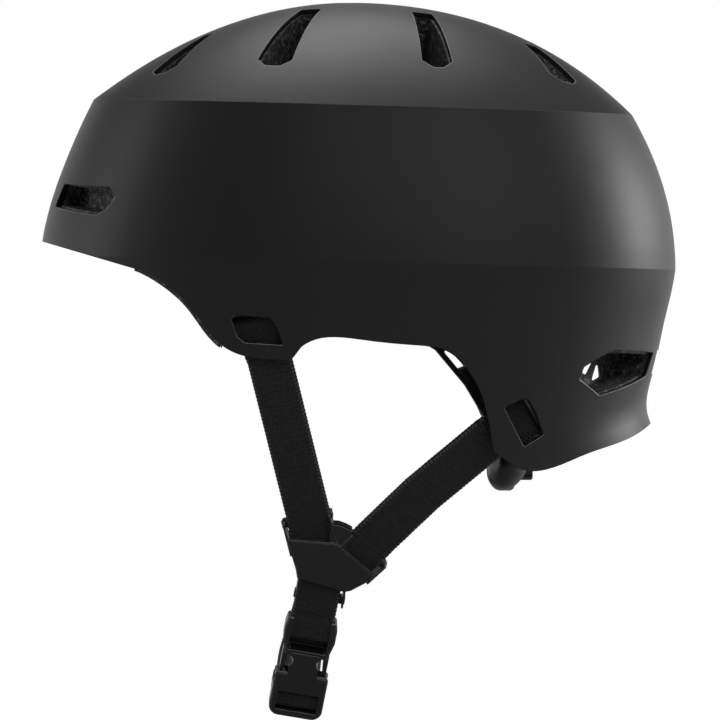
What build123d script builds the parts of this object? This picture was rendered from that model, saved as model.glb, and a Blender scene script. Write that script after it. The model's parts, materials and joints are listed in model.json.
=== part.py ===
from build123d import *

import math
import os
from dataclasses import dataclass

# Skateboard helmet. Units are millimetres, +Z is up, the front of the helmet is at -X and the
# wearer's left is at -Y. The origin is inside the head cavity, on the centre plane.

overrun = 40.0

# Outer shell, overall form
shell_length = 279.3
shell_width = 214.0
crown_height = 113.2
rear_reach = 138.8
crown_mid_x = -4.4
shell_wall = 2.4
top_flat_share = 0.055

# Belt crease, where the crown meets the band, and the lower crease, where the band meets the skirt
belt_front_x = -117.2
belt_front_z = 70.5
belt_rear_x = 119.7
belt_rear_z = 63.8
belt_half_width = 95.8
crease_front_z = 2.0
crease_rear_z = -4.4
neck_front_z = -162.0
neck_rear_z = -66.0
skirt_rear_taper = 14.0
skirt_front_taper = 28.5
skirt_side_taper = 17.0
skirt_power_along = 1.08
lip_flare = 7.0
lip_side_share = 0.7
lip_start_share = 0.88
lip_run_share = 0.27

# How the crown and the band curve between their creases
crown_rear_shares = (0.75, 0.25)
crown_sink_share = 0.55
band_sink_share = 0.45
band_front_power = 1.5
band_rear_power = 2.05
band_side_power = 1.8

# Squareness of the rings, as the power of a superellipse
top_power = 2.0
belt_power = 2.35
skirt_power = 2.4
ring_points = 28

# Foam liner and head cavity
foam_top = 22.0
cavity_front_x = -108.0
cavity_rear_x = 105.0
cavity_half_width = 82.0
cavity_mid_x = -1.5
cavity_floor_z = -120.0
glue_gap = 0.3
soft_gap = 0.3
liner_recess = 6.0
liner_proud = 1.4
channel_step = 0.8

# Vents of the crown: outer end and inner end in plan, as shares of the half length and of the
# half width at the belt, then the widths of the two ends
crown_vent_shares = (
    ((-0.632, 0.512), (-0.478, 0.200), 14.0, 6.5),
    ((-0.278, 0.785), (-0.155, 0.248), 15.6, 9.6),
    ((0.248, 0.785), (0.198, 0.262), 13.6, 9.2),
    ((0.655, 0.497), (0.537, 0.225), 15.0, 9.0),
)
crown_vent_chamfer = 4.6
crown_vent_corner = 1.2

# Side openings, as outlines seen from the side: shares of shell_length and of crown_height
front_vent_shares = ((-0.4666, 0.294), (-0.3918, 0.279), (-0.3832, 0.243), (-0.3893, 0.199),
                     (-0.4001, 0.171), (-0.4759, 0.205))
rear_vent_shares = ((0.3775, -0.350), (0.4555, -0.360), (0.4469, -0.449), (0.3722, -0.5265),
                    (0.3461, -0.463), (0.3486, -0.416), (0.3618, -0.381))
front_window_shares = ((-0.2031, -0.213), (-0.1391, -0.227), (-0.1276, -0.2686),
                       (-0.1201, -0.332), (-0.1805, -0.322), (-0.1920, -0.297))
rear_window_shares = ((0.2238, -0.5716), (0.2538, -0.534), (0.2610, -0.542), (0.2749, -0.5945),
                      (0.2899, -0.6767), (0.2599, -0.7244))
window_corner = 0.8
front_vent_depth = 11.0
rear_vent_depth = 15.0
rear_slot_half_width = 13.0
rear_slot_top_share = -0.350
rear_slot_bottom_share = -0.442

# See-through holes of the liner behind the rear side vents
spy_hole_shares = (((0.3500, -0.385), (0.3700, -0.375), (0.3560, -0.448), (0.3490, -0.440)),
                   ((0.3740, -0.378), (0.3770, -0.455), (0.3620, -0.478)))

# Lower rim, seen from the side: shares of shell_length and of crown_height
brim_tip_share = (-0.507, 0.0765)
front_arch_shares = ((-0.342, -0.043), (-0.3070, -0.0925), (-0.2657, -0.182), (-0.2300, -0.300))
front_lobe_shares = ((-0.2080, -0.346), (-0.1770, -0.376), (-0.1430, -0.386), (-0.1095, -0.3905))
ear_corner_shares = ((-0.0930, -0.337), (-0.0740, -0.3115))
ear_arch_shares = ((0.0064, -0.311), (0.0820, -0.330), (0.1480, -0.369))
rear_arch_shares = ((0.1700, -0.432), (0.1890, -0.515), (0.2000, -0.610), (0.2090, -0.742))
rear_lobe_shares = ((0.2260, -0.771), (0.2440, -0.8025), (0.2630, -0.8172), (0.2875, -0.8136))
flare_end_shares = ((0.3567, -0.750), (0.4201, -0.694), (0.4720, -0.600))

# Comfort pads in the cavity
pad_thickness = 7.0
pad_corner = 6.0
brow_pad_height = 26.0
brow_pad_half_width = 58.0
brow_pad_low_z = 2.0
side_pad_length = 62.0
side_pad_height = 34.0
side_pad_mid_x = -26.0
side_pad_low_z = 4.0
crown_pad_length = 96.0
crown_pad_width = 44.0

# Webbing and its anchors
webbing_width = 19.0
webbing_thickness = 1.5
web_gap = 0.3
anchor_bar_radius = 1.8
anchor_bar_length = 27.0
front_anchor_x_share = -0.1640
rear_anchor_x_share = 0.2560
front_standoff = 1.5
rear_standoff = 4.6
pocket_depth = 9.0
pocket_side_gap = 2.0
front_exit_shares = (-0.1425, -0.3825)
front_route_shares = ((-0.1210, -0.5945), (-0.0802, -1.0009), (-0.0698, -1.1484))
rear_exit_shares = (0.2055, -0.6864)
front_anchor_rise = 15.5
rear_anchor_rise = 9.5
bar_slack = 0.1
collar_thickness = 1.2
collar_height = 1.6
rear_route_shares = ((0.0963, -0.9099), (0.0301, -1.0654), (-0.0179, -1.1837))
strap_end_gap = 0.3

# Strap divider: a plate in front of the webbing and a loop behind each strap
divider_width = 39.6
divider_height = 25.5
divider_corner_shares = (-0.1164, -1.0703)
divider_plate_shares = ((0, 0), (0.558, -0.075), (1, -0.725), (0.720, -0.975), (0.646, -1.0),
                        (0.126, -0.74), (0.111, -0.571), (0.058, -0.279))
divider_plate_thickness = 2.5
divider_bar_thickness = 2.6
divider_layer_gap = 0.35
divider_leg_width = 0.9
divider_bar_bump = 0.6
divider_gusset_shares = ((0.480, -0.050), (0.4985, 0.2527), (0.584, 0.2433), (0.657, 0.2003),
                         (0.7396, 0.1281), (0.665, -0.191))
divider_bar_width = 3.4
divider_bevel = 0.7
divider_corner = 0.9
divider_root = 3.5
top_loop_shares = (-0.0748, -1.0910, 11.7)
rear_loop_shares = (-0.0061, -1.1660, 8.0)
chin_loop_shares = (-0.0591, -1.2460, 10.1)
front_way = 103.0
rear_way = 45.0
chin_way = -99.0
chin_top_shares = (-0.0600, -1.1750)

# Side release buckle, in its own frame: p across, q along towards the divider, n outwards
buckle_mid_shares = (-0.0879, -1.5592)
buckle_lean = 10.4
buckle_half_depth = 4.4
strap_lip_level = 3.6
web_slot_half = 9.9
plug_half_width = 11.5
plug_half_depth = 4.2
plug_top_q = 22.4
plug_outline_shares = ((0.93, 1.0), (1.0, 0.82), (1.0, 0.55), (0.85, 0.24), (0.80, -0.036))
plug_lip_half = 8.4
plug_slot_top_q = 13.8
plug_slot_low_q = 6.8
plug_bar_top_q = 22.0
plug_bar_half_depth = 1.5
plug_corner = 1.8
plug_edge = 0.9
stem_half_width = 2.6
stem_low_q = -9.5
stem_half_depth = 1.2
side_hole_p = 8.0
side_hole_q = 1.6
side_hole_radius = 2.9
prong_pivot_p = 9.0
prong_pivot_q = 6.0
prong_band_p = 9.5
prong_width = 1.5
prong_lobe_p = 11.6
prong_lobe_inner_p = 6.4
prong_lobe_top_q = -5.2
prong_tip_q = -10.6
prong_half_depth = 2.2
prong_eye_radius = 1.3
prong_pin_radius = 0.7
prong_corner = 0.5
prong_seat_gap = 0.3
prong_pin_gap = 0.1
socket_half_width = 11.8
socket_mouth_q = -4.4
socket_floor_q = -11.4
socket_low_q = -25.4
socket_wall = 1.2
socket_mouth_corner = 1.6
socket_corner = 4.6
socket_edge = 0.9
socket_lip_half = 9.0
tongue_half_width = 6.6
tongue_top_q = 5.6
tongue_thickness = 1.3
side_port_top_q = -4.9
side_port_low_q = -10.9
socket_slot_top_q = -13.6
socket_slot_low_q = -22.2
adjuster_top_q = -15.9
adjuster_low_q = -19.4
adjuster_half_depth = 1.2

# Far chin strap, its free tail and the keeper on them, in the buckle's frame
wrap_back_n = -5.0
tail_start_n = -12.0
tail_end_n = -52.0
tail_end_p = 2.0
tail_layer_gap = 0.3
run_lift_share = -0.05
far_pull_share = 0.45
far_steps = 6
keeper_length = 9.0
keeper_wall = 1.2
keeper_mid_n = -24.0

# Fit system: arms on temple pins, and a housing at the nape with two racks, a pinion and a dial
pin_x = 6.0
pin_z = -14.0
pin_radius = 2.4
pin_head_radius = 5.0
pin_head_thickness = 1.4
pin_shank_length = 9.0
pin_flange_radius = 6.4
pin_clearance = 0.25
arm_thickness = 1.8
arm_eye_radius = 8.0
arm_inner_y = 75.6
arm_route_shares = ((-0.06, 1.0), (0.432, 1.0), (0.832, 0.8105), (1.0, 0.549), (1.0, 0.4540))
arm_bend_radius = 26.0
arm_profile_shares = ((0.024, -0.206), (0.531, -0.396), (0.739, -0.552), (0.888, -0.71), (0.936, -0.80),
                      (0.96, -0.905), (1.088, -0.905), (1.088, -0.755), (0.986, -0.745), (0.928, -0.63),
                      (0.712, -0.375), (0.496, -0.24), (0.2, -0.095))
arm_slot_shares = (((0.224, -0.245), (0.528, -0.363), (0.60, -0.335), (0.32, -0.195)),
                   ((0.584, -0.402), (0.776, -0.546), (0.824, -0.524), (0.664, -0.37)),
                   ((0.80, -0.575), (0.895, -0.70), (0.92, -0.68), (0.862, -0.56)))
arm_slot_corner = 1.0
arm_reach_x = 62.5
arm_drop_z = 100.0
housing_front_x = 57.0
housing_depth = 11.0
housing_half_width = 24.0
housing_half_height = 18.4
housing_mid_z = -83.0
housing_corner = 11.0
housing_edge = 5.0
cover_edge = 2.6
cover_depth = 3.0
front_wall = 3.6
gear_module = 0.7
pinion_teeth = 16
pressure_angle = 20.0
tooth_height_share = 0.8
root_depth_share = 1.15
backlash = 0.12
rack_back = 3.2
rack_inner_y = 12.5
rack_gap = 0.3
rack_head = 2.5
rack_head_top = 7.5
rack_stop_gap = 0.5
flank_steps = 4
journal_radius = 2.0
rack_tighten = 9.0
spindle_radius = 2.6
spindle_clearance = 0.08
dial_radius = 13.8
dial_depth = 7.6
dial_gap = 0.4
dial_grips = 18
dial_grip_radius = 1.5
dial_edge = 1.2
dial_rim_width = 2.2
dial_dish = 1.0
dial_cap = 2.0
nape_pad_thickness = 6.0
nape_pad_half_width = 18.4
nape_pad_half_height = 8.5
nape_pad_rise = 2.0
nape_pad_crown = 2.5


@dataclass
class Ring:
    """One closed ring of the shell, in a plane tilted along the helmet."""

    front_x: float
    front_z: float
    rear_x: float
    rear_z: float
    mid_x: float
    half_width: float
    power: float

    def height(self, x):
        along = (x - self.front_x) / (self.rear_x - self.front_x)
        return self.front_z + along * (self.rear_z - self.front_z)

    def width_at(self, x):
        reach = self.rear_x - self.mid_x if x > self.mid_x else self.mid_x - self.front_x
        share = min(abs(x - self.mid_x) / reach, 1)
        return self.half_width * (1 - share**self.power) ** (1 / self.power)

    def wire(self):
        points = []
        for step in range(ring_points):
            turn = 2 * math.pi * step / ring_points
            across = math.copysign(abs(math.sin(turn)) ** (2 / self.power), math.sin(turn))
            along = math.copysign(abs(math.cos(turn)) ** (2 / self.power), math.cos(turn))
            reach = self.rear_x - self.mid_x if along > 0 else self.mid_x - self.front_x
            x = self.mid_x + reach * along
            points.append((x, self.half_width * across, self.height(x)))
        return Wire([Edge.make_spline([Vector(*point) for point in points], periodic=True)])


def crown_ring(share, inset):
    """Ring of the crown: share is 0 at the top and 1 at the belt crease."""
    sink = inset * (1 - crown_sink_share * share)
    front_drop = (crown_height - belt_front_z) * share**2
    curve = crown_rear_shares[0] * share**2 + crown_rear_shares[1] * share**4
    rear_drop = (crown_height - belt_rear_z) * curve
    return Ring(
        front_x=crown_mid_x + (belt_front_x + inset - crown_mid_x) * share,
        front_z=crown_height - front_drop - sink,
        rear_x=crown_mid_x + (belt_rear_x - inset - crown_mid_x) * share,
        rear_z=crown_height - rear_drop - sink,
        mid_x=crown_mid_x,
        half_width=(belt_half_width - inset) * share,
        power=top_power + (belt_power - top_power) * share,
    )


def band_ring(share, inset):
    """Ring of the band: share is 0 at the belt crease and 1 at the lower crease."""
    sink = band_sink_share * inset * (1 - share)
    front_bulge = 1 - (1 - share) ** band_front_power
    rear_bulge = 1 - (1 - share) ** band_rear_power
    side_bulge = 1 - (1 - share) ** band_side_power
    front_x = belt_front_x + (rear_reach - shell_length - belt_front_x) * front_bulge
    rear_x = belt_rear_x + (rear_reach - belt_rear_x) * rear_bulge
    return Ring(
        front_x=front_x + inset,
        front_z=belt_front_z + (crease_front_z - belt_front_z) * share - sink,
        rear_x=rear_x - inset,
        rear_z=belt_rear_z + (crease_rear_z - belt_rear_z) * share - sink,
        mid_x=crown_mid_x * (1 - share),
        half_width=belt_half_width + (shell_width / 2 - belt_half_width) * side_bulge - inset,
        power=belt_power + (skirt_power - belt_power) * share,
    )


def skirt_ring(share, inset):
    """Ring of the skirt: share is 0 at the lower crease, 1 at the neck and more in the lip."""
    flare = lip_flare * (max(share - lip_start_share, 0) / lip_run_share) ** 2
    taper = share**skirt_power_along
    return Ring(
        front_x=rear_reach - shell_length + skirt_front_taper * share - flare + inset,
        front_z=crease_front_z + (neck_front_z - crease_front_z) * share,
        rear_x=rear_reach - skirt_rear_taper * taper + flare - inset,
        rear_z=crease_rear_z + (neck_rear_z - crease_rear_z) * share,
        mid_x=0,
        half_width=shell_width / 2 - skirt_side_taper * taper + lip_side_share * flare - inset,
        power=skirt_power,
    )


crown_steps = (top_flat_share, 0.25, 0.5, 0.75, 1.0)
band_steps = (0.0, 0.25, 0.5, 0.75, 1.0)
skirt_steps = (0.0, 0.25, 0.5, 0.75, 0.9, 1.0, 1.08, 1.16)
ring_zones = ((crown_ring, crown_steps), (band_ring, band_steps), (skirt_ring, skirt_steps))


def shell_form(inset):
    """The closed outer form of the helmet, set in by the given depth."""
    zones = [Solid.make_loft([ring(step, inset).wire() for step in steps])
             for ring, steps in ring_zones]
    return zones[0].fuse(zones[1]).fuse(zones[2])


def form_half_width(x, z, inset):
    """Half width of the form at a place seen from the side."""
    for ring, steps in ring_zones:
        low, high = steps[0], steps[-1]
        if ring(high, inset).height(x) > z and ring is not skirt_ring:
            continue
        for _ in range(40):
            middle = (low + high) / 2
            if ring(middle, inset).height(x) > z:
                low = middle
            else:
                high = middle
        return ring(low, inset).width_at(x)


def cavity_ring(share, inset):
    """Ring of the head cavity: a dome for shares under 1, then a straight wall down to 2."""
    top = crown_height - shell_wall - foam_top - inset
    turn = math.pi / 2 * min(share, 1)
    dome = top * math.cos(turn)
    drop = cavity_floor_z * max(share - 1, 0)
    front = cavity_mid_x - (cavity_mid_x - cavity_front_x - inset) * math.sin(turn)
    rear = cavity_mid_x + (cavity_rear_x - cavity_mid_x - inset) * math.sin(turn)
    return Ring(
        front_x=front, front_z=dome + drop, rear_x=rear, rear_z=dome + drop, mid_x=cavity_mid_x,
        half_width=(cavity_half_width - inset) * math.sin(turn),
        power=top_power + (skirt_power - top_power) * min(share, 1),
    )


def cavity_form(inset):
    """The space for the head, set in by the given depth."""
    dome = Solid.make_loft([cavity_ring(share, inset).wire() for share in (0.05, 0.3, 0.55, 0.8, 1)])
    wall = Solid.make_loft([cavity_ring(share, inset).wire() for share in (1, 2)], ruled=True)
    return dome.fuse(wall)


def cavity_half_width_at(x):
    return cavity_ring(1, 0).width_at(x)


def seen(shares):
    """A place seen from the side, from its shares of the length and of the crown's height."""
    return shares[0] * shell_length, shares[1] * crown_height


def outline(points, corner):
    """A closed flat face through the points, with rounded corners."""
    face = make_face(Polyline(*points, close=True))
    return fillet(face.vertices(), corner) if corner else face


def mirrored(solid):
    return solid.mirror(Plane.XZ)


def both_sides(solid):
    return [solid, mirrored(solid)]


def cut_all(solid, tools):
    """Cut several tools from a solid and keep its largest piece."""
    result = solid.cut(*tools)
    pieces = result.solids() if hasattr(result, "solids") else [result]
    return max(pieces, key=lambda piece: piece.volume)


# Rim

def rim_face():
    """All of the helmet above its lower rim, seen from the side."""
    brim = seen(brim_tip_share)
    arch = [seen(place) for place in front_arch_shares + front_lobe_shares]
    ear = [seen(place) for place in ear_corner_shares + ear_arch_shares + rear_arch_shares]
    rear = [seen(place) for place in rear_lobe_shares + flare_end_shares]
    roof = crown_height + overrun
    lines = [
        Line(brim, arch[0]), Spline(*arch), Line(arch[-1], ear[0]), Spline(*ear),
        Line(ear[-1], rear[0]), Spline(*rear), Line(rear[-1], (rear[-1][0] + overrun, rear[-1][1])),
        Polyline((rear[-1][0] + overrun, rear[-1][1]), (rear[-1][0] + overrun, roof),
                 (brim[0] - overrun, roof), (brim[0] - overrun, brim[1]), brim),
    ]
    return make_face(lines)


def across(face, half_width):
    """A prism across the helmet from a face drawn in the side view."""
    return extrude(Plane.XZ * face, amount=half_width, both=True)


# Cuts

def crown_point(x, y):
    """Point of the crown above a place in plan."""
    low, high = 0.0, 1.0
    for _ in range(40):
        middle = (low + high) / 2
        ring = crown_ring(middle, 0)
        inside = ring.front_x < x < ring.rear_x and ring.width_at(x) > abs(y)
        low, high = (low, middle) if inside else (middle, high)
    return Vector(x, y, crown_ring(high, 0).height(x))


def crown_vent(outer, inner, outer_width, inner_width, step):
    """Prism of one crown vent, square to the crown at its middle, made smaller by the step."""
    half = shell_length / 2
    start = crown_point(outer[0] * half, -outer[1] * belt_half_width)
    end = crown_point(inner[0] * half, -inner[1] * belt_half_width)
    middle = crown_point((start.X + end.X) / 2, (start.Y + end.Y) / 2)
    probe = shell_wall
    slope_x = (crown_point(middle.X + probe, middle.Y) - crown_point(middle.X - probe, middle.Y)).Z
    slope_y = (crown_point(middle.X, middle.Y + probe) - crown_point(middle.X, middle.Y - probe)).Z
    normal = Vector(-slope_x, -slope_y, 2 * probe).normalized()
    along = end - start
    along = along - normal * along.dot(normal)
    frame = Plane(origin=middle, x_dir=along, z_dir=normal)
    reach = along.length / 2 - step
    wide, narrow = outer_width / 2 - step, inner_width / 2 - step
    chamfer = crown_vent_chamfer
    points = [(-reach, wide - chamfer), (-reach + chamfer, wide), (reach, narrow), (reach, -narrow),
              (-reach + chamfer, -wide), (-reach, -wide + chamfer)]
    return extrude(frame * outline(points, crown_vent_corner), amount=overrun, both=True)


def side_prism(shares, depth, corner, step=0):
    """Prism of a side opening, square to the wall over its length, from outside to a depth."""
    places = [seen(place) for place in shares]
    start_x, end_x = min(x for x, z in places), max(x for x, z in places)
    middle_z = sum(z for x, z in places) / len(places)
    start = Vector(start_x, -form_half_width(start_x, middle_z, 0), 0)
    end = Vector(end_x, -form_half_width(end_x, middle_z, 0), 0)
    chord = end - start
    frame = Plane(origin=start, x_dir=chord, z_dir=Vector(chord.Y, -chord.X, 0))
    points = [((x - start_x) / (end_x - start_x) * chord.length, z) for x, z in places]
    face = outline(points, corner)
    if step:
        face = offset(face, -step)
    return extrude(frame * face, amount=overrun).fuse(extrude(frame * face, amount=-depth))


def all_crown_vents(step):
    vents = [crown_vent(*vent, step) for vent in crown_vent_shares]
    return [tool for vent in vents for tool in both_sides(vent)]


def rear_slot(depth):
    """Prism of the slot at the middle of the rear."""
    top, bottom = rear_slot_top_share * crown_height, rear_slot_bottom_share * crown_height
    half = rear_slot_half_width
    face = outline([(-half, bottom), (half, bottom), (half, top), (-half, top)], window_corner)
    start = rear_reach - depth
    frame = Plane(origin=(start, 0, 0), x_dir=(0, 1, 0), z_dir=(1, 0, 0))
    return extrude(frame * face, amount=depth + overrun)


def make_outer_shell():
    """Moulded shell: the form, hollowed, trimmed at the rim and pierced by its vents."""
    shell = shell_form(0).cut(shell_form(shell_wall)).intersect(across(rim_face(), shell_width))
    shell = max(shell.solids(), key=lambda piece: piece.volume)
    tools = all_crown_vents(0)
    tools += both_sides(side_prism(front_vent_shares, overrun, window_corner))
    tools += both_sides(side_prism(rear_vent_shares, rear_vent_depth, window_corner))
    tools += both_sides(side_prism(front_window_shares, pocket_depth, window_corner))
    tools += both_sides(side_prism(rear_window_shares, pocket_depth, window_corner))
    tools.append(rear_slot(rear_vent_depth))
    return cut_all(shell, tools)


# Webbing and its places

def wall_place(x, z, depth):
    """A place at a depth inside the left wall of the form, seen from the side."""
    return Vector(x, -(form_half_width(x, z, 0) - depth), z)


web_depth = shell_wall + webbing_thickness / 2
front_exit = wall_place(*seen(front_exit_shares), web_depth + front_standoff)
rear_exit = wall_place(*seen(rear_exit_shares), web_depth + rear_standoff)
hang_tilt = math.atan2(rear_exit.Y - front_exit.Y, front_exit.Z - rear_exit.Z)
hang = Plane(origin=front_exit, x_dir=(1, 0, 0), z_dir=(0, -math.cos(hang_tilt), -math.sin(hang_tilt)))


def hung(shares, out=0):
    """A place in the plane that the left webbing hangs in, seen from the side."""
    x, z = seen(shares)
    return hang.from_local_coords((x - front_exit.X, (z - front_exit.Z) / math.cos(hang_tilt), out))


def ribbon(stations, width, thickness, smooth=False):
    """Webbing through stations, each with its place, its run direction and its width direction."""
    faces = [Plane(origin=place, x_dir=across_way, z_dir=way) * Rectangle(width, thickness)
             for place, way, across_way in stations]
    return loft(faces, ruled=not smooth)


def anchor_plane(x_share, exit_place, way_z, standoff):
    """Frame of an anchor bar: x along the bar, y up the webbing, z out through the wall."""
    x = x_share * shell_length
    z = exit_place.Z + way_z
    inside = shell_wall + standoff + webbing_thickness + anchor_bar_radius
    middle = wall_place(x, z, inside)
    up = (middle - exit_place).normalized()
    probe = anchor_bar_length / 2
    slope = wall_place(x + probe, z, inside) - wall_place(x - probe, z, inside)
    outward = Vector(slope.Y, -slope.X, 0).normalized()
    outward = (outward - up * outward.dot(up)).normalized()
    return Plane(origin=middle, x_dir=up.cross(outward), z_dir=outward)


front_anchor = anchor_plane(front_anchor_x_share, front_exit, front_anchor_rise, front_standoff)
rear_anchor = anchor_plane(rear_anchor_x_share, rear_exit, rear_anchor_rise, rear_standoff)


def strap_route(exit_place, anchor, route_shares):
    """Stations of a strap, from its anchor bar to its end behind the divider plate."""
    places = [anchor.from_local_coords((0, 0, anchor_bar_radius + webbing_thickness / 2)), exit_place]
    places += [hung(shares) for shares in route_shares]
    stations = []
    for index, place in enumerate(places):
        before, after = places[max(index - 1, 0)], places[min(index + 1, len(places) - 1)]
        way = (after - before).normalized()
        facing = anchor.z_dir if index == 0 else hang.z_dir
        stations.append((place, way, facing.cross(way)))
    return stations


front_stations = strap_route(front_exit, front_anchor, front_route_shares)
rear_stations = strap_route(rear_exit, rear_anchor, rear_route_shares)
channel_width = webbing_width + 2 * strap_end_gap
channel_thickness = webbing_thickness + 2 * divider_layer_gap


def strap_loop(anchor):
    """The sewn loop of webbing round an anchor bar."""
    inner = anchor_bar_radius + bar_slack
    ring = Circle(inner + webbing_thickness - bar_slack) - Circle(inner)
    along_bar = Plane(origin=anchor.origin, x_dir=anchor.y_dir, z_dir=anchor.x_dir)
    return extrude(along_bar * ring, amount=webbing_width / 2, both=True)


def make_front_strap():
    """Left front strap, from its anchor loop to the divider."""
    return ribbon(front_stations, webbing_width, webbing_thickness).fuse(strap_loop(front_anchor)).cut(
        bar_rod(front_anchor, bar_slack, webbing_width))


def make_rear_strap():
    """Left rear strap. Its end stops short of the front strap and of the chin strap."""
    strap = ribbon(rear_stations, webbing_width, webbing_thickness).fuse(strap_loop(rear_anchor))
    channels = [ribbon(front_stations, channel_width, channel_thickness), chin_channel(),
                bar_rod(rear_anchor, bar_slack, webbing_width)]
    return cut_all(strap, channels)


def bar_rod(anchor, slack, length):
    """Rod of an anchor bar, with slack round it."""
    along_bar = Plane(origin=anchor.origin, x_dir=anchor.y_dir, z_dir=anchor.x_dir)
    return extrude(along_bar * Circle(anchor_bar_radius + slack), amount=length / 2, both=True)


def make_anchor_bar(anchor):
    """Anchor bar: a rod with a flat collar at each side of the webbing."""
    collar_start = webbing_width / 2 + web_gap
    bar = bar_rod(anchor, 0, anchor_bar_length)
    for side in (-1, 1):
        middle = side * (collar_start + collar_thickness / 2)
        place = Plane(origin=anchor.from_local_coords((middle, 0, 0)), x_dir=anchor.y_dir, z_dir=anchor.x_dir)
        bar = bar.fuse(extrude(place * Circle(anchor_bar_radius + collar_height),
                               amount=collar_thickness / 2, both=True))
    return bar


def anchor_pocket(anchor):
    """Room in the foam for an anchor bar, its loop and the webbing down to the rim."""
    half_width = webbing_width / 2 + web_gap + collar_thickness + pocket_side_gap
    top = anchor_bar_radius + webbing_thickness + pocket_side_gap
    back = top + pocket_side_gap
    box = anchor * Pos(0, (top - overrun) / 2, (overrun - back) / 2) * Box(
        2 * half_width, top + overrun, overrun + back)
    return box.fuse(bar_rod(anchor, web_gap, anchor_bar_length + 2 * web_gap))


# Divider

def divider_point(share_x, share_z):
    corner = hang.to_local_coords(hung(divider_corner_shares))
    return corner.X + share_x * divider_width, corner.Y + share_z * divider_height


def web_loop(shares, way_angle):
    """Loop behind a strap: two legs and a bar, on the plate's edge."""
    x, z, reach = shares
    base = hang.to_local_coords(hung((x, z)))
    frame = hang * Pos(base.X, base.Y, 0) * Rot(0, 0, way_angle)
    low = -(webbing_thickness / 2 + divider_layer_gap + divider_bar_thickness)
    top = webbing_thickness / 2 + divider_layer_gap + divider_plate_thickness - divider_bevel
    inside = webbing_width / 2 + strap_end_gap
    wide = inside + divider_leg_width
    bar = frame * Pos(reach - divider_bar_width / 2, 0, low + divider_bar_thickness / 2) * Box(
        divider_bar_width, 2 * (wide + divider_bar_bump), divider_bar_thickness)
    loop = fillet(bar.edges().group_by(SortBy.LENGTH)[-1], divider_corner)
    for side in (-1, 1):
        middle = side * (inside + divider_leg_width / 2)
        loop = loop.fuse(frame * Pos((reach - divider_root) / 2, middle, (low + top) / 2) * Box(
            reach + divider_root, divider_leg_width, top - low))
    return loop


def make_divider():
    """Left divider, one moulding: the plate, three loops, a gusset and the web channels."""
    face = outline([divider_point(*shares) for shares in divider_plate_shares], divider_corner)
    level = webbing_thickness / 2 + divider_layer_gap
    plate = extrude(hang * Pos(0, 0, level) * face, amount=divider_plate_thickness)
    top_edges = plate.faces().sort_by(Axis(hang.origin, hang.z_dir))[-1].edges()
    plate = chamfer(top_edges, divider_bevel)
    gusset = outline([divider_point(*shares) for shares in divider_gusset_shares], divider_corner)
    gusset = extrude(hang * Pos(0, 0, -level) * gusset, amount=2 * level + divider_plate_thickness / 2)
    body = plate.fuse(web_loop(top_loop_shares, front_way), web_loop(rear_loop_shares, rear_way),
                      web_loop(chin_loop_shares, chin_way), gusset)
    return cut_all(body, [ribbon(front_stations, channel_width, channel_thickness),
                          ribbon(rear_stations, channel_width, channel_thickness), chin_channel()])


# Buckle

lean = math.radians(buckle_lean)
buckle = Plane(origin=hung(buckle_mid_shares), z_dir=hang.z_dir,
               x_dir=hang.x_dir * math.cos(lean) - hang.y_dir * math.sin(lean))
web_section = Plane(origin=buckle.origin, x_dir=buckle.y_dir, z_dir=buckle.x_dir)
chin_top_q = buckle.to_local_coords(hung(chin_top_shares)).Y


def block(frame, low, high):
    """A box between two corners of a frame."""
    size = [abs(b - a) for a, b in zip(low, high)]
    middle = [(a + b) / 2 for a, b in zip(low, high)]
    return frame * Pos(*middle) * Box(*size)


def chin_channel():
    """Room of the left chin strap behind the divider plate."""
    half_width, half_depth = channel_width / 2, webbing_thickness + divider_layer_gap
    return block(buckle, (-half_width, plug_top_q + strap_end_gap, -half_depth),
                 (half_width, chin_top_q + strap_end_gap, half_depth))


def make_chin_strap_left():
    """Short chin strap: two layers, sewn round the top bar of the plug."""
    bar_room = plug_bar_half_depth + web_gap
    outside = bar_room + webbing_thickness
    low = plug_slot_top_q - web_gap
    join = plug_top_q + webbing_thickness
    skin = webbing_thickness
    outer = outline([(low - skin, -outside), (plug_bar_top_q, -outside), (join, -skin), (chin_top_q, -skin),
                     (chin_top_q, skin), (join, skin), (plug_bar_top_q, outside), (low - skin, outside)], 0)
    inner = outline([(low, -bar_room), (plug_bar_top_q + web_gap, -bar_room), (join - skin, 0),
                     (plug_bar_top_q + web_gap, bar_room), (low, bar_room)], 0)
    outer = fillet(outer.vertices().sort_by(Axis.X)[:2], skin)
    return extrude(web_section * (outer - inner), amount=webbing_width / 2, both=True)


def both_halves(points):
    """Points of the right half of an outline, from the top down, and their mirror images."""
    return points + [(-p, q) for p, q in reversed(points)]


def side_holes():
    """Round stock through the buckle, one each side of the tongue."""
    return [buckle * Pos(side * side_hole_p, side_hole_q, 0) * Cylinder(side_hole_radius, 2 * overrun)
            for side in (-1, 1)]


def prong_seat(side):
    """Room in the plug for the eye of a prong."""
    deep = prong_half_depth + prong_seat_gap
    wide = prong_eye_radius + prong_seat_gap
    eye = buckle * Pos(side * prong_pivot_p, prong_pivot_q, 0) * Cylinder(wide, 2 * deep)
    way = block(buckle, (side * (prong_pivot_p - wide), -overrun, -deep),
                (side * overrun, prong_pivot_q, deep))
    return [eye, way]


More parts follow.
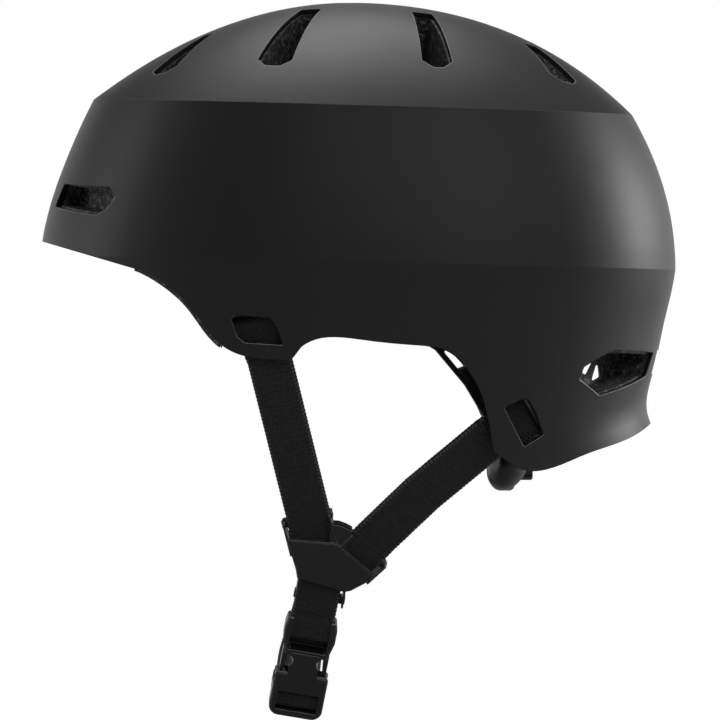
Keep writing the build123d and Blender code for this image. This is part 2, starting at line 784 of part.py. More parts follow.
def make_plug():
    """Plug: a frame with a bar and lips for the webbing, and a stem that enters the socket."""
    points = both_halves([(p * plug_half_width, q * plug_top_q) for p, q in plug_outline_shares])
    plug = extrude(buckle * outline(points, plug_corner), amount=plug_half_depth, both=True)
    plug = chamfer(plug.faces().filter_by(buckle).edges(), plug_edge)
    wide, lip, low, top = web_slot_half, plug_lip_half, plug_slot_low_q, plug_slot_top_q
    tongue_level = buckle_half_depth - tongue_thickness - prong_seat_gap
    rooms = [
        block(buckle, (-wide, low, -strap_lip_level), (wide, top, strap_lip_level)),
        block(buckle, (-wide, top - plug_edge, plug_bar_half_depth), (wide, overrun, strap_lip_level)),
        block(buckle, (-lip, low, strap_lip_level), (lip, overrun, overrun)),
        block(buckle, (-wide, top, -overrun), (wide, overrun, -plug_bar_half_depth)),
        block(buckle, (-wide, plug_bar_top_q, -overrun), (wide, overrun, strap_lip_level)),
        block(buckle, (-tongue_half_width - prong_seat_gap, -overrun, tongue_level),
              (tongue_half_width + prong_seat_gap, tongue_top_q + prong_seat_gap, overrun)),
    ]
    stem = block(buckle, (-stem_half_width, stem_low_q, -stem_half_depth),
                 (stem_half_width, plug_slot_low_q, stem_half_depth))
    plug = plug.cut(*rooms).fuse(stem)
    plug = cut_all(plug, side_holes() + prong_seat(-1) + prong_seat(1))
    for side in (-1, 1):
        place = buckle * Pos(side * prong_pivot_p, prong_pivot_q, 0)
        plug = plug.fuse(place * Cylinder(prong_pin_radius, 2 * (plug_half_depth - plug_edge)))
    return plug


def make_prong(side):
    """Springy side prong, with an eye at its root and a lobe that fills the socket's port."""
    pivot = Pos(prong_pivot_p, prong_pivot_q)
    half = prong_width / 2
    points = [(prong_pivot_p - prong_eye_radius, prong_pivot_q), (prong_band_p - half, socket_mouth_q),
              (prong_lobe_inner_p, prong_lobe_top_q - prong_width),
              (prong_lobe_inner_p + prong_width, prong_tip_q), (prong_band_p, prong_tip_q),
              (prong_lobe_p, (prong_lobe_top_q + prong_tip_q) / 2), (prong_lobe_p, prong_lobe_top_q - half),
              (prong_band_p + half, prong_lobe_top_q), (prong_pivot_p + prong_eye_radius, prong_pivot_q)]
    face = pivot * Circle(prong_eye_radius) + outline(points, prong_corner)
    face = face - pivot * Circle(prong_pin_radius + prong_pin_gap)
    if side < 0:
        face = mirror(face, about=Plane.YZ)
    return extrude(buckle * face, amount=prong_half_depth, both=True)


def make_socket():
    """Socket: a flat sleeve with side ports, a front tongue and a bar that the webbing goes round."""
    half, deep, wall = socket_half_width, buckle_half_depth, socket_wall
    corners = [(half, socket_mouth_q), (half, socket_low_q)]
    face = make_face(Polyline(*both_halves(corners), close=True))
    ends = face.vertices().group_by(Axis.Y)
    face = fillet(ends[0], socket_corner)
    face = fillet(face.vertices().group_by(Axis.Y)[-1], socket_mouth_corner)
    socket = extrude(buckle * face, amount=deep, both=True)
    socket = chamfer(socket.faces().filter_by(buckle).edges(), socket_edge)
    wide, lip = web_slot_half, socket_lip_half
    rooms = [
        block(buckle, (-half + wall, socket_floor_q, -deep + wall), (half - wall, overrun, deep - wall)),
        block(buckle, (-wide, socket_slot_low_q, -overrun), (wide, socket_slot_top_q, strap_lip_level)),
        block(buckle, (-lip, socket_slot_low_q, strap_lip_level), (lip, socket_slot_top_q, overrun)),
    ]
    for side in (-1, 1):
        rooms.append(block(buckle, (side * (half - 2 * wall), side_port_low_q, -deep + wall),
                           (side * overrun, side_port_top_q, deep - wall)))
    adjuster = block(buckle, (-wide, adjuster_low_q, -adjuster_half_depth),
                     (wide, adjuster_top_q, adjuster_half_depth))
    tongue = block(buckle, (-tongue_half_width, socket_mouth_q - wall, deep - tongue_thickness),
                   (tongue_half_width, tongue_top_q, deep))
    return socket.cut(*rooms).fuse(adjuster, tongue.cut(*side_holes()))


def on_buckle(p, q, n):
    return buckle.from_local_coords((p, q, n))


def far_lay(height):
    """Start, end, run direction and width direction of the straight lay behind the socket."""
    start = on_buckle(0, run_q(tail_start_n) + height, tail_start_n)
    end = on_buckle(tail_end_p, run_q(tail_end_n) + height, tail_end_n)
    way = (end - start).normalized()
    return start, end, way, (buckle.x_dir - way * buckle.x_dir.dot(way)).normalized()


def far_stations():
    """Stations of the far run, from the back of the socket up to the far divider."""
    far_hang = Vector(hang.z_dir.X, -hang.z_dir.Y, hang.z_dir.Z)
    far_q = Vector(buckle.y_dir.X, -buckle.y_dir.Y, buckle.y_dir.Z)
    far_p = Vector(buckle.x_dir.X, -buckle.x_dir.Y, buckle.x_dir.Z)
    start, straight, way, width = far_lay(0)
    low = on_buckle(0, (plug_top_q + chin_top_q) / 2, 0)
    high = on_buckle(0, chin_top_q, 0)
    low, high = Vector(low.X, -low.Y, low.Z), Vector(high.X, -high.Y, high.Z)
    places = [start, straight]
    ways = [way] * 2
    widths = [width] * 2
    for index in range(1, far_steps):
        share = index / far_steps
        reach = (low - straight).length
        bend = [(1 - share) ** 3, 3 * (1 - share) ** 2 * share, 3 * (1 - share) * share**2, share**3]
        pull = reach * far_pull_share
        knots = [straight, straight + ways[0] * pull, low - far_q * pull, low]
        slope = [-3 * (1 - share) ** 2, 3 * (1 - share) ** 2 - 6 * (1 - share) * share,
                 6 * (1 - share) * share - 3 * share**2, 3 * share**2]
        places.append(sum((knot * weight for knot, weight in zip(knots, bend)), Vector()))
        way = sum((knot * weight for knot, weight in zip(knots, slope)), Vector()).normalized()
        across = widths[0] * (1 - share) + far_p * share
        ways.append(way)
        widths.append((across - way * across.dot(way)).normalized())
    places += [low, high]
    ways += [far_q] * 2
    widths += [far_p] * 2
    return list(zip(places, ways, widths))


def run_q(n):
    """Height of the far run along the buckle, where it is straight behind the socket."""
    return adjuster_low_q - web_gap - webbing_thickness + (wrap_back_n - n) * run_lift_share


def make_chin_strap_right():
    """Long chin strap: from the far divider to the socket, round its adjuster bar and back as a tail."""
    thick = webbing_thickness
    low_q = adjuster_low_q - web_gap - thick / 2
    high_q = adjuster_top_q + web_gap + thick / 2
    out_n = adjuster_half_depth + web_gap + thick / 2
    back_n = -adjuster_half_depth
    tail_q = run_q(tail_start_n) + thick + tail_layer_gap
    path = Polyline((run_q(tail_start_n), tail_start_n), (low_q, back_n), (low_q, out_n), (high_q, out_n),
                    (high_q, back_n), (tail_q, tail_start_n))
    wrap = extrude(web_section * make_face(offset(path, thick / 2, side=Side.BOTH, kind=Kind.INTERSECTION)),
                   amount=webbing_width / 2, both=True)
    run = ribbon(far_stations(), webbing_width, thick)
    start, end, way, width = far_lay(thick + tail_layer_gap)
    tail = ribbon([(start, way, width), (end, way, width)], webbing_width, thick)
    return wrap.fuse(run, tail)


def keeper_frame():
    start, end, way, width = far_lay((webbing_thickness + tail_layer_gap) / 2)
    share = (keeper_mid_n - tail_start_n) / (tail_end_n - tail_start_n)
    return Plane(origin=start + (end - start) * share, x_dir=width, z_dir=way)


def make_keeper():
    """Rubber band round the far run and its tail."""
    room_y = 2 * webbing_thickness + tail_layer_gap + 2 * web_gap
    room_x = webbing_width + 2 * web_gap
    ring = RectangleRounded(room_x + 2 * keeper_wall, room_y + 2 * keeper_wall, keeper_wall)
    ring = ring - Rectangle(room_x, room_y)
    return extrude(keeper_frame() * ring, amount=keeper_length / 2, both=True)


# Fit system

def side_cylinder(radius, start_y, end_y):
    """Round stock across the helmet, on the temple pin's axis, on the left."""
    place = Plane(origin=(pin_x, -start_y, pin_z), x_dir=(1, 0, 0), z_dir=(0, -1, 0))
    return extrude(place * Circle(radius), amount=end_y - start_y)


def make_temple_pin():
    """Left temple pin: a head, a bearing for the arm, a flange on the foam and a shank in it."""
    wall = cavity_half_width_at(pin_x)
    arm_outer_y = arm_inner_y + arm_thickness
    pin = side_cylinder(pin_radius, arm_inner_y - pin_clearance - pin_head_thickness, wall + pin_shank_length)
    head_y = arm_inner_y - pin_clearance
    head = side_cylinder(pin_head_radius, head_y - pin_head_thickness, head_y)
    flange = side_cylinder(pin_flange_radius, arm_outer_y + pin_clearance, wall - 2 * glue_gap)
    return pin.fuse(head, flange)


def make_fit_arm():
    """Left fit arm: a thin band from the temple pin round towards the nape, with open slots."""
    middle_y = arm_inner_y + arm_thickness / 2
    route = [(x * arm_reach_x, -y * middle_y) for x, y in arm_route_shares]
    route = FilletPolyline(*route, radius=arm_bend_radius)
    band = make_face(offset(route, arm_thickness / 2, side=Side.BOTH, kind=Kind.INTERSECTION))
    band = extrude(band, amount=arm_drop_z + overrun, both=True)
    profile = outline([(x * arm_reach_x, z * arm_drop_z) for x, z in arm_profile_shares], arm_slot_corner)
    profile = profile + Pos(pin_x, pin_z) * Circle(arm_eye_radius)
    profile = profile - Pos(pin_x, pin_z) * Circle(pin_radius + pin_clearance)
    for slot in arm_slot_shares:
        profile = profile - outline([(x * arm_reach_x, z * arm_drop_z) for x, z in slot], arm_slot_corner)
    arm = band.intersect(across(profile, shell_width))
    return max(arm.solids(), key=lambda piece: piece.volume)


rear_way_frame = Plane(origin=(housing_front_x, 0, housing_mid_z), x_dir=(0, 1, 0), z_dir=(1, 0, 0))
pitch_radius = gear_module * pinion_teeth / 2
tooth_height = gear_module * tooth_height_share
root_depth = gear_module * root_depth_share
rack_half_height = pitch_radius + root_depth + rack_back
rack_start_x = front_wall + rack_gap
rack_thickness = housing_depth - cover_depth - front_wall - 2 * rack_gap
rack_outer_y = housing_half_width + rack_tighten + rack_stop_gap


def make_dial_housing():
    """Housing cup: a rounded block with a channel for the racks and a seat for the pinion."""
    depth = housing_depth - cover_depth
    face = RectangleRounded(2 * housing_half_width, 2 * housing_half_height, housing_corner)
    cup = extrude(rear_way_frame * face, amount=depth)
    cup = fillet(cup.faces().sort_by(Axis.X)[0].edges(), housing_edge)
    half = rack_half_height + rack_gap
    channel = block(rear_way_frame, (-overrun, -half, front_wall), (overrun, half, overrun))
    journal = extrude(rear_way_frame * Circle(journal_radius + spindle_clearance), amount=overrun)
    journal = journal.cut(block(rear_way_frame, (-overrun, -overrun, 0), (overrun, overrun, front_wall / 2)))
    return cut_all(cup, [channel, journal])


def make_housing_cover():
    """Rear plate of the housing, with the bearing hole of the dial's spindle."""
    face = RectangleRounded(2 * housing_half_width, 2 * housing_half_height, housing_corner)
    face = face - Circle(spindle_radius + spindle_clearance)
    start = housing_depth - cover_depth
    cover = extrude(rear_way_frame * Pos(0, 0, start) * face, amount=cover_depth)
    outer_edges = cover.faces().sort_by(Axis.X)[-1].outer_wire().edges()
    return fillet(outer_edges, cover_edge)


def gear_face():
    """Involute outline of the pinion, with a tooth at the top and at the bottom."""
    base = pitch_radius * math.cos(math.radians(pressure_angle))
    tip, root = pitch_radius + tooth_height, pitch_radius - root_depth

    def involute(radius):
        turn = math.acos(min(base / radius, 1))
        return math.tan(turn) - turn

    half_tooth = math.pi / 2 / pinion_teeth - backlash / 2 / pitch_radius + involute(pitch_radius)
    flank = [(base + (tip - base) * step / flank_steps) for step in range(flank_steps + 1)]
    points = []
    for tooth in range(pinion_teeth):
        middle = math.pi / 2 + 2 * math.pi * tooth / pinion_teeth
        rising = [(radius, middle - half_tooth + involute(radius)) for radius in flank]
        falling = [(radius, middle + half_tooth - involute(radius)) for radius in reversed(flank)]
        points += [(root, middle - half_tooth)] + rising + falling + [(root, middle + half_tooth)]
    return make_face(Polyline(*[(r * math.cos(turn), r * math.sin(turn)) for r, turn in points], close=True))


def make_pinion():
    """Pinion with its spindle, which carries the dial, and its journal in the housing."""
    gear = extrude(rear_way_frame * Pos(0, 0, rack_start_x) * gear_face(), amount=rack_thickness)
    spindle = extrude(rear_way_frame * Pos(0, 0, rack_start_x) * Circle(spindle_radius),
                      amount=housing_depth + dial_gap + dial_depth - dial_cap - rack_start_x)
    journal = extrude(rear_way_frame * Pos(0, 0, front_wall / 2 + rack_gap) * Circle(journal_radius),
                      amount=front_wall / 2)
    return gear.fuse(spindle, journal)


def make_rack():
    """Left rack, below the pinion: a toothed bar with a head that the fit arm ends in."""
    pitch = math.pi * gear_module
    lean_in = math.tan(math.radians(pressure_angle))
    half = pitch / 4 - backlash / 2
    root_z, tip_z = -(pitch_radius + root_depth), -(pitch_radius - tooth_height)
    bar_outer = -rack_outer_y + rack_head
    points = [(bar_outer, -rack_half_height), (rack_inner_y, -rack_half_height), (rack_inner_y, root_z)]
    last = int((rack_inner_y - half) / pitch - 0.5)
    for tooth in range(last, -int((housing_half_width + rack_tighten) / pitch), -1):
        middle = (tooth + 0.5) * pitch
        foot, crest = half + root_depth * lean_in, half - tooth_height * lean_in
        points += [(middle + foot, root_z), (middle + crest, tip_z),
                   (middle - crest, tip_z), (middle - foot, root_z)]
    points.append((bar_outer, root_z))
    frame = rear_way_frame * Pos(0, 0, rack_start_x)
    bar = extrude(frame * make_face(Polyline(*points, close=True)), amount=rack_thickness)
    head = block(frame, (-rack_outer_y, -rack_half_height, 0), (bar_outer, rack_head_top, rack_thickness))
    return bar.fuse(head)


def make_fit_dial():
    """Dial: a dished disc with finger grips round its edge and a blind bore for the spindle."""
    start = housing_depth + dial_gap
    disc = extrude(rear_way_frame * Pos(0, 0, start) * Circle(dial_radius), amount=dial_depth)
    rear = disc.faces().sort_by(Axis.X)[-1]
    disc = fillet(rear.edges(), dial_edge)
    dish_radius = dial_radius - dial_rim_width - dial_grip_radius
    dish = extrude(rear_way_frame * Pos(0, 0, start + dial_depth - dial_dish) * Circle(dish_radius),
                   amount=overrun)
    grips = []
    for grip in range(dial_grips):
        turn = 2 * math.pi * grip / dial_grips
        place = Pos(dial_radius * math.cos(turn), dial_radius * math.sin(turn), start)
        grips.append(extrude(rear_way_frame * place * Circle(dial_grip_radius), amount=dial_depth + overrun))
    bore_radius = spindle_radius + spindle_clearance / 2
    bore = extrude(rear_way_frame * Pos(0, 0, start - overrun) * Circle(bore_radius),
                   amount=overrun + dial_depth - dial_cap)
    return cut_all(disc, [dish, bore] + grips)


def make_nape_pad():
    """Cushion on the head side of the housing."""
    place = rear_way_frame * Pos(0, nape_pad_rise, -soft_gap)
    pad = extrude(place * RectangleRounded(2 * nape_pad_half_width, 2 * nape_pad_half_height, pad_corner),
                  amount=-nape_pad_thickness)
    return fillet(pad.faces().sort_by(Axis.X)[0].edges(), nape_pad_crown)


# Pads

def pad_skin():
    return cavity_form(soft_gap).cut(cavity_form(soft_gap + pad_thickness))


def make_brow_pad(skin):
    low, high = brow_pad_low_z, brow_pad_low_z + brow_pad_height
    face = Pos(0, (low + high) / 2) * RectangleRounded(2 * brow_pad_half_width, high - low, pad_corner)
    ahead = Plane(origin=(cavity_mid_x, 0, 0), x_dir=(0, -1, 0), z_dir=(-1, 0, 0))
    region = extrude(ahead * face, amount=shell_length)
    return largest(skin.intersect(region))


def make_side_pad(skin):
    face = Pos(side_pad_mid_x, side_pad_low_z + side_pad_height / 2) * RectangleRounded(
        side_pad_length, side_pad_height, pad_corner)
    region = extrude(Plane.XZ * face, amount=shell_width)
    return largest(skin.intersect(region))


def make_crown_pad(skin):
    face = Pos(cavity_mid_x, 0) * RectangleRounded(crown_pad_length, crown_pad_width, pad_corner)
    return largest(skin.intersect(extrude(face, amount=crown_height)))


def largest(shape):
    return max(shape.solids(), key=lambda piece: piece.volume)


# Liner

def liner_face():
    """The liner seen from the side: short of the rim, but proud of it in the front arch."""
    rim = rim_face()
    recessed = Pos(0, liner_recess) * rim
    arch_x = [seen(place)[0] for place in front_arch_shares]
    window = Pos((arch_x[0] + arch_x[-1]) / 2, seen(front_lobe_shares[0])[1]) * Rectangle(
        arch_x[-1] - arch_x[0] + liner_recess, -2 * seen(front_lobe_shares[0])[1])
    proud = (Pos(-liner_proud, -liner_proud / 2) * rim) & window
    return recessed + proud


def make_foam_liner():
    """Foam liner: fills the shell down to the head cavity, with channels behind the vents."""
    profile = across(liner_face(), shell_width)
    liner = largest(shell_form(shell_wall + glue_gap).intersect(profile))
    tools = [cavity_form(0)] + all_crown_vents(channel_step)
    tools += both_sides(side_prism(front_vent_shares, front_vent_depth, window_corner, channel_step))
    tools += both_sides(side_prism(rear_vent_shares, rear_vent_depth, window_corner, channel_step))
    for hole in spy_hole_shares:
        tools.append(across(outline([seen(place) for place in hole], window_corner), shell_width))
    tools.append(rear_slot(rear_vent_depth))
    tools += both_sides(anchor_pocket(front_anchor)) + both_sides(anchor_pocket(rear_anchor))
    wall = cavity_half_width_at(pin_x)
    tools += both_sides(side_cylinder(pin_radius + pin_clearance, wall - overrun,
                                      wall + pin_shank_length + pin_clearance))
    return cut_all(liner, tools)


def flipped(solid):
    """The same piece, turned half a turn about the dial's axis."""
    return solid.rotate(Axis((0, 0, housing_mid_z), (1, 0, 0)), 180)


def build_nodes():
    """Every node of the helmet, by name."""
    skin = pad_skin()
    pairs = {
        "side_pad": make_side_pad(skin),
        "front_strap": make_front_strap(),
        "rear_strap": make_rear_strap(),
        "front_anchor_bar": make_anchor_bar(front_anchor),
        "rear_anchor_bar": make_anchor_bar(rear_anchor),
        "strap_divider": make_divider(),
        "temple_pin": make_temple_pin(),
        "fit_arm": make_fit_arm(),
    }
    nodes = {
        "outer_shell": make_outer_shell(),
        "foam_liner": make_foam_liner(),
        "brow_pad": make_brow_pad(skin),
        "crown_pad": make_crown_pad(skin),
        "chin_strap_left": make_chin_strap_left(),
        "chin_strap_right": make_chin_strap_right(),
        "strap_keeper": make_keeper(),
        "buckle_plug": make_plug(),
        "buckle_prong_front": make_prong(-1),
        "buckle_prong_rear": make_prong(1),
        "buckle_socket": make_socket(),
        "dial_housing": make_dial_housing(),
        "housing_cover": make_housing_cover(),
        "dial_pinion": make_pinion(),
        "fit_dial": make_fit_dial(),
        "nape_pad": make_nape_pad(),
        "fit_rack_left": make_rack(),
    }
    nodes["fit_rack_right"] = flipped(nodes["fit_rack_left"])
    for name, solid in pairs.items():
        nodes[name + "_left"] = solid
        nodes[name + "_right"] = mirrored(solid)
    return nodes


if __name__ == "__main__":
    os.makedirs("parts", exist_ok=True)
    for name, solid in build_nodes().items():
        export_step(solid, f"parts/{name}.step")
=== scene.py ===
"""Skateboard helmet on a pale studio floor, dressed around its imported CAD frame. Lengths are metres."""

import json
import logging
import math
from dataclasses import dataclass, field
from enum import Enum

import bmesh
import bpy
from mathutils import Matrix, Vector

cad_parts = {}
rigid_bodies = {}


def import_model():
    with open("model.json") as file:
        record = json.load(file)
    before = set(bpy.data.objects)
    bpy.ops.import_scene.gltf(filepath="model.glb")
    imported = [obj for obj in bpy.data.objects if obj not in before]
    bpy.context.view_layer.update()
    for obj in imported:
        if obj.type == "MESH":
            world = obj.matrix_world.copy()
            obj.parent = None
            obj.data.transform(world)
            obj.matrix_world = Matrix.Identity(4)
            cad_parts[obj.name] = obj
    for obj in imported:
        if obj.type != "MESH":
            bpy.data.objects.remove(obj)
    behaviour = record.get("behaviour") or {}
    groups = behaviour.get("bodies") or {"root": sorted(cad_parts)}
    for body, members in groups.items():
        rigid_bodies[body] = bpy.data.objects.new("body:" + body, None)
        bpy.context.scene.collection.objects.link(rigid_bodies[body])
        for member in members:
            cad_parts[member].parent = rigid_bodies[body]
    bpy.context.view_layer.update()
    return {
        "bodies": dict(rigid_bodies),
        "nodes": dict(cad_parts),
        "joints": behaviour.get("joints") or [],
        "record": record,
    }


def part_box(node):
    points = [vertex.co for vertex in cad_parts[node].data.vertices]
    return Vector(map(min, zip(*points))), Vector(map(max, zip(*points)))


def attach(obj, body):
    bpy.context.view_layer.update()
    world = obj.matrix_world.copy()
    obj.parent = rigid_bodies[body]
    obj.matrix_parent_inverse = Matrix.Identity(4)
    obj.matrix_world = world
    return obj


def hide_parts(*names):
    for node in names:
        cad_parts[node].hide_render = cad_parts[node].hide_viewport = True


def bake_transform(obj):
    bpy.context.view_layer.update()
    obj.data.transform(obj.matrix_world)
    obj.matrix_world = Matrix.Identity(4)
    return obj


log = logging.getLogger("helmet")

Numbers = tuple[float, ...]
MM_IN_METRE = 1000
MERGE = 2e-6  # points of a CAD mesh that are one
TOUCH = 1e-6  # points of a built mesh that are one
EDGE_SAMPLES = 4


class Side(Enum):
    """The wearer's side that a piece is on. The value turns a left place into a right one."""

    LEFT = (1.0, 1.0, 1.0)
    RIGHT = (1.0, -1.0, 1.0)

    @property
    def word(self) -> str:
        """Give the side's word in the names of nodes."""
        return self.name.lower()

    def turned(self, place: Numbers) -> Vector:
        """Give a place or direction of the left side on this side."""
        return Vector(place) * Vector(self.value)


# Shader node groups


class NodeSheet:
    """A node tree that is filled by short calls."""

    def __init__(self, tree: bpy.types.NodeTree) -> None:
        """Keep the tree.

        Args:
            tree: The node tree to fill.
        """
        self.tree = tree

    def add(self, kind: str, settings: dict | None = None, **values: object) -> bpy.types.Node:
        """Add one node.

        Args:
            kind: The node's class name without its ShaderNode prefix.
            settings: Properties of the node, by name.
            **values: Input values or sockets to link, named as feed takes them.

        Returns:
            The new node.
        """
        node = self.tree.nodes.new("ShaderNode" + kind)
        for name, value in (settings or {}).items():
            setattr(node, name, value)
        self.feed(node, **values)
        return node

    def feed(self, node: bpy.types.Node, **values: object) -> None:
        """Set or link inputs of a node.

        Args:
            node: The node.
            **values: Input values or sockets to link. An input is named with underscores for spaces, or
                by its number, as in0 or in1.
        """
        for name, value in values.items():
            by_number = name.startswith("in") and name[2:].isdigit()
            socket = node.inputs[int(name[2:]) if by_number else name.replace("_", " ")]
            if isinstance(value, bpy.types.NodeSocket):
                self.tree.links.new(value, socket)
            else:
                socket.default_value = value

    def group(self, tree: bpy.types.NodeTree, **values: object) -> bpy.types.Node:
        """Place a node group, with its input values or sockets to link."""
        return self.add("Group", {"node_tree": tree}, **values)

    def math(self, operation: str, *values: object) -> bpy.types.NodeSocket:
        """Add a Math node and give its value, from numbers or sockets in order."""
        named = {f"in{index}": value for index, value in enumerate(values)}
        return self.add("Math", {"operation": operation}, **named).outputs[0]

    def ramp(self, factor: bpy.types.NodeSocket, low: float, high: float) -> bpy.types.NodeSocket:
        """Stretch a range of values to 0 and 1, smoothly.

        Args:
            factor: The value to stretch.
            low: The value that becomes 0.
            high: The value that becomes 1.

        Returns:
            The stretched value.
        """
        node = self.add("MapRange", {"interpolation_type": "SMOOTHSTEP"}, Value=factor, From_Min=low,
                        From_Max=high)
        return node.outputs["Result"]

    def mix(self, factor: bpy.types.NodeSocket, first: Numbers | bpy.types.NodeSocket,
            second: Numbers) -> bpy.types.NodeSocket:
        """Mix two colours.

        Args:
            factor: How much of the second colour shows.
            first: The first colour, or a socket that gives it.
            second: The second colour.

        Returns:
            The mixed colour.
        """
        if not isinstance(first, bpy.types.NodeSocket):
            first = (*first, 1.0)
        return self.add("Mix", {"data_type": "RGBA"}, in0=factor, in6=first, in7=(*second, 1.0)).outputs[2]


@dataclass(frozen=True)
class EffectGroup:
    """A shader node group with coordinates, some number inputs and some outputs."""

    title: str
    inputs: tuple[tuple[str, float], ...]
    outputs: tuple[str, ...]
    on_coordinates: bool = True

    def start(self) -> tuple[NodeSheet, bpy.types.bpy_prop_collection, bpy.types.Node]:
        """Make the group's tree and its sockets.

        Returns:
            The sheet, what the group is given and its output node.
        """
        tree = bpy.data.node_groups.new(self.title, "ShaderNodeTree")
        if self.on_coordinates:
            tree.interface.new_socket("Vector", in_out="INPUT", socket_type="NodeSocketVector")
        for name, value in self.inputs:
            socket = tree.interface.new_socket(name, in_out="INPUT", socket_type="NodeSocketFloat")
            socket.default_value = value
        for name in self.outputs:
            tree.interface.new_socket(name, in_out="OUTPUT", socket_type="NodeSocketFloat")
        return NodeSheet(tree), tree.nodes.new("NodeGroupInput").outputs, tree.nodes.new("NodeGroupOutput")


@dataclass
class Effects:
    """The node groups that the finishes place, each built once.

    A range is what a ramp stretches to 0 and 1, and a share is of the group's own scale or rib.
    """

    coarse_share: float = 0.31
    coarse_height: float = 0.4
    fleck_range: Numbers = (0.55, 0.8)
    smear_range: Numbers = (0.35, 0.7)
    specks_per_smear: float = 22.0
    speck_range: Numbers = (0.0, 0.09)
    bevel_samples: int = 6
    # The next two ranges pick the edges that get a painted highlight: edges that turn from the face, and
    # edges that face up.
    rubbed_range: Numbers = (0.012, 0.09)
    upward_range: Numbers = (-0.05, 0.4)
    dome_range: Numbers = (0.0, 0.22)
    # Width of the painted shade in the gaps between foam beads.
    pore_range: Numbers = (0.0, 0.07)
    bead_noise_share: float = 6.0
    bead_noise_height: float = 0.25
    drift_scale: float = 420.0
    drift_share: float = 0.35
    yarn_stagger: float = 0.5
    rib_power: float = 1.4
    yarn_power: float = 0.3
    fuzz_scale: float = 2600.0
    fuzz_range: Numbers = (0.3, 0.7)
    tone_power: float = 2.0
    tone_gain: float = 0.75
    tone_base: float = 0.35
    selvage_power: float = 3.0
    selvage_range: Numbers = (0.0007, 0.0013)
    loop_randomness: float = 0.35
    nap_share: float = 2.2

    def __post_init__(self) -> None:
        """Build every group."""
        self.grain = self.build_grain()
        self.handling = self.build_handling()
        self.worn_edges = self.build_worn_edges()
        self.beads = self.build_beads()
        self.weave = self.build_weave()
        self.knit = self.build_knit()

    def build_grain(self) -> bpy.types.NodeTree:
        """Build the fine spark grain of moulded plastic."""
        sheet, given, result = EffectGroup("moulded grain", (("Pitch", 0.0006),), ("Height", "Fleck")).start()
        scale = sheet.math("DIVIDE", 1.0, given["Pitch"])
        fine = sheet.add("TexNoise", Vector=given["Vector"], Scale=scale, Detail=2.0, Roughness=0.6)
        coarse = sheet.add("TexNoise", Vector=given["Vector"], Detail=1.0,
                           Scale=sheet.math("MULTIPLY", scale, self.coarse_share))
        height = sheet.math("MULTIPLY_ADD", coarse.outputs["Fac"], self.coarse_height, fine.outputs["Fac"])
        sheet.feed(result, Height=height, Fleck=sheet.ramp(fine.outputs["Fac"], *self.fleck_range))
        return sheet.tree

    def build_handling(self) -> bpy.types.NodeTree:
        """Build the soft smears and dust that handling leaves."""
        sheet, given, result = EffectGroup("handling", (("Size", 0.06),), ("Smear", "Dust")).start()
        scale = sheet.math("DIVIDE", 1.0, given["Size"])
        broad = sheet.add("TexNoise", Vector=given["Vector"], Scale=scale, Detail=4.0, Roughness=0.55,
                          Distortion=0.8)
        specks = sheet.add("TexVoronoi", {"feature": "F1"}, Vector=given["Vector"],
                           Scale=sheet.math("MULTIPLY", scale, self.specks_per_smear))
        dust = sheet.math("SUBTRACT", 1.0, sheet.ramp(specks.outputs["Distance"], *self.speck_range))
        sheet.feed(result, Smear=sheet.ramp(broad.outputs["Fac"], *self.smear_range), Dust=dust)
        return sheet.tree

    def build_worn_edges(self) -> bpy.types.NodeTree:
        """Build the mask of the edges that face up, where light from above falls: a painted highlight."""
        sheet, given, result = EffectGroup("worn edges", (("Radius", 0.0007),), ("Mask",), False).start()
        rounded = sheet.add("Bevel", {"samples": self.bevel_samples}, Radius=given["Radius"]).outputs[0]
        flat = sheet.add("NewGeometry").outputs["True Normal"]
        likeness = sheet.add("VectorMath", {"operation": "DOT_PRODUCT"}, in0=rounded, in1=flat)
        turned = sheet.math("SUBTRACT", 1.0, likeness.outputs["Value"])
        facing = sheet.add("SeparateXYZ", Vector=rounded).outputs["Z"]
        # Edges that turn from the face and face up take the painted highlight.
        edge_turn, upward = sheet.ramp(turned, *self.rubbed_range), sheet.ramp(facing, *self.upward_range)
        sheet.feed(result, Mask=sheet.math("MULTIPLY", edge_turn, upward))
        return sheet.tree

    def build_beads(self) -> bpy.types.NodeTree:
        """Build the fused beads of moulded foam."""
        outputs = ("Height", "Pore", "Tone")
        sheet, given, result = EffectGroup("foam beads", (("Bead", 0.0026),), outputs).start()
        scale = sheet.math("DIVIDE", 1.0, given["Bead"])
        edge = sheet.add("TexVoronoi", {"feature": "DISTANCE_TO_EDGE"}, Vector=given["Vector"], Scale=scale)
        cell = sheet.add("TexVoronoi", {"feature": "F1"}, Vector=given["Vector"], Scale=scale)
        tone = sheet.add("SeparateColor", Color=cell.outputs["Color"])
        dome = sheet.ramp(edge.outputs["Distance"], *self.dome_range)
        fine = sheet.add("TexNoise", Vector=given["Vector"],
                         Scale=sheet.math("MULTIPLY", scale, self.bead_noise_share))
        height = sheet.math("MULTIPLY_ADD", fine.outputs["Fac"], self.bead_noise_height, dome)
        # The gaps between beads, where the relief dips, are marked for painted shade.
        pore_shade = sheet.math("SUBTRACT", 1.0, sheet.ramp(edge.outputs["Distance"], *self.pore_range))
        sheet.feed(result, Height=height, Pore=pore_shade, Tone=tone.outputs[0])
        return sheet.tree

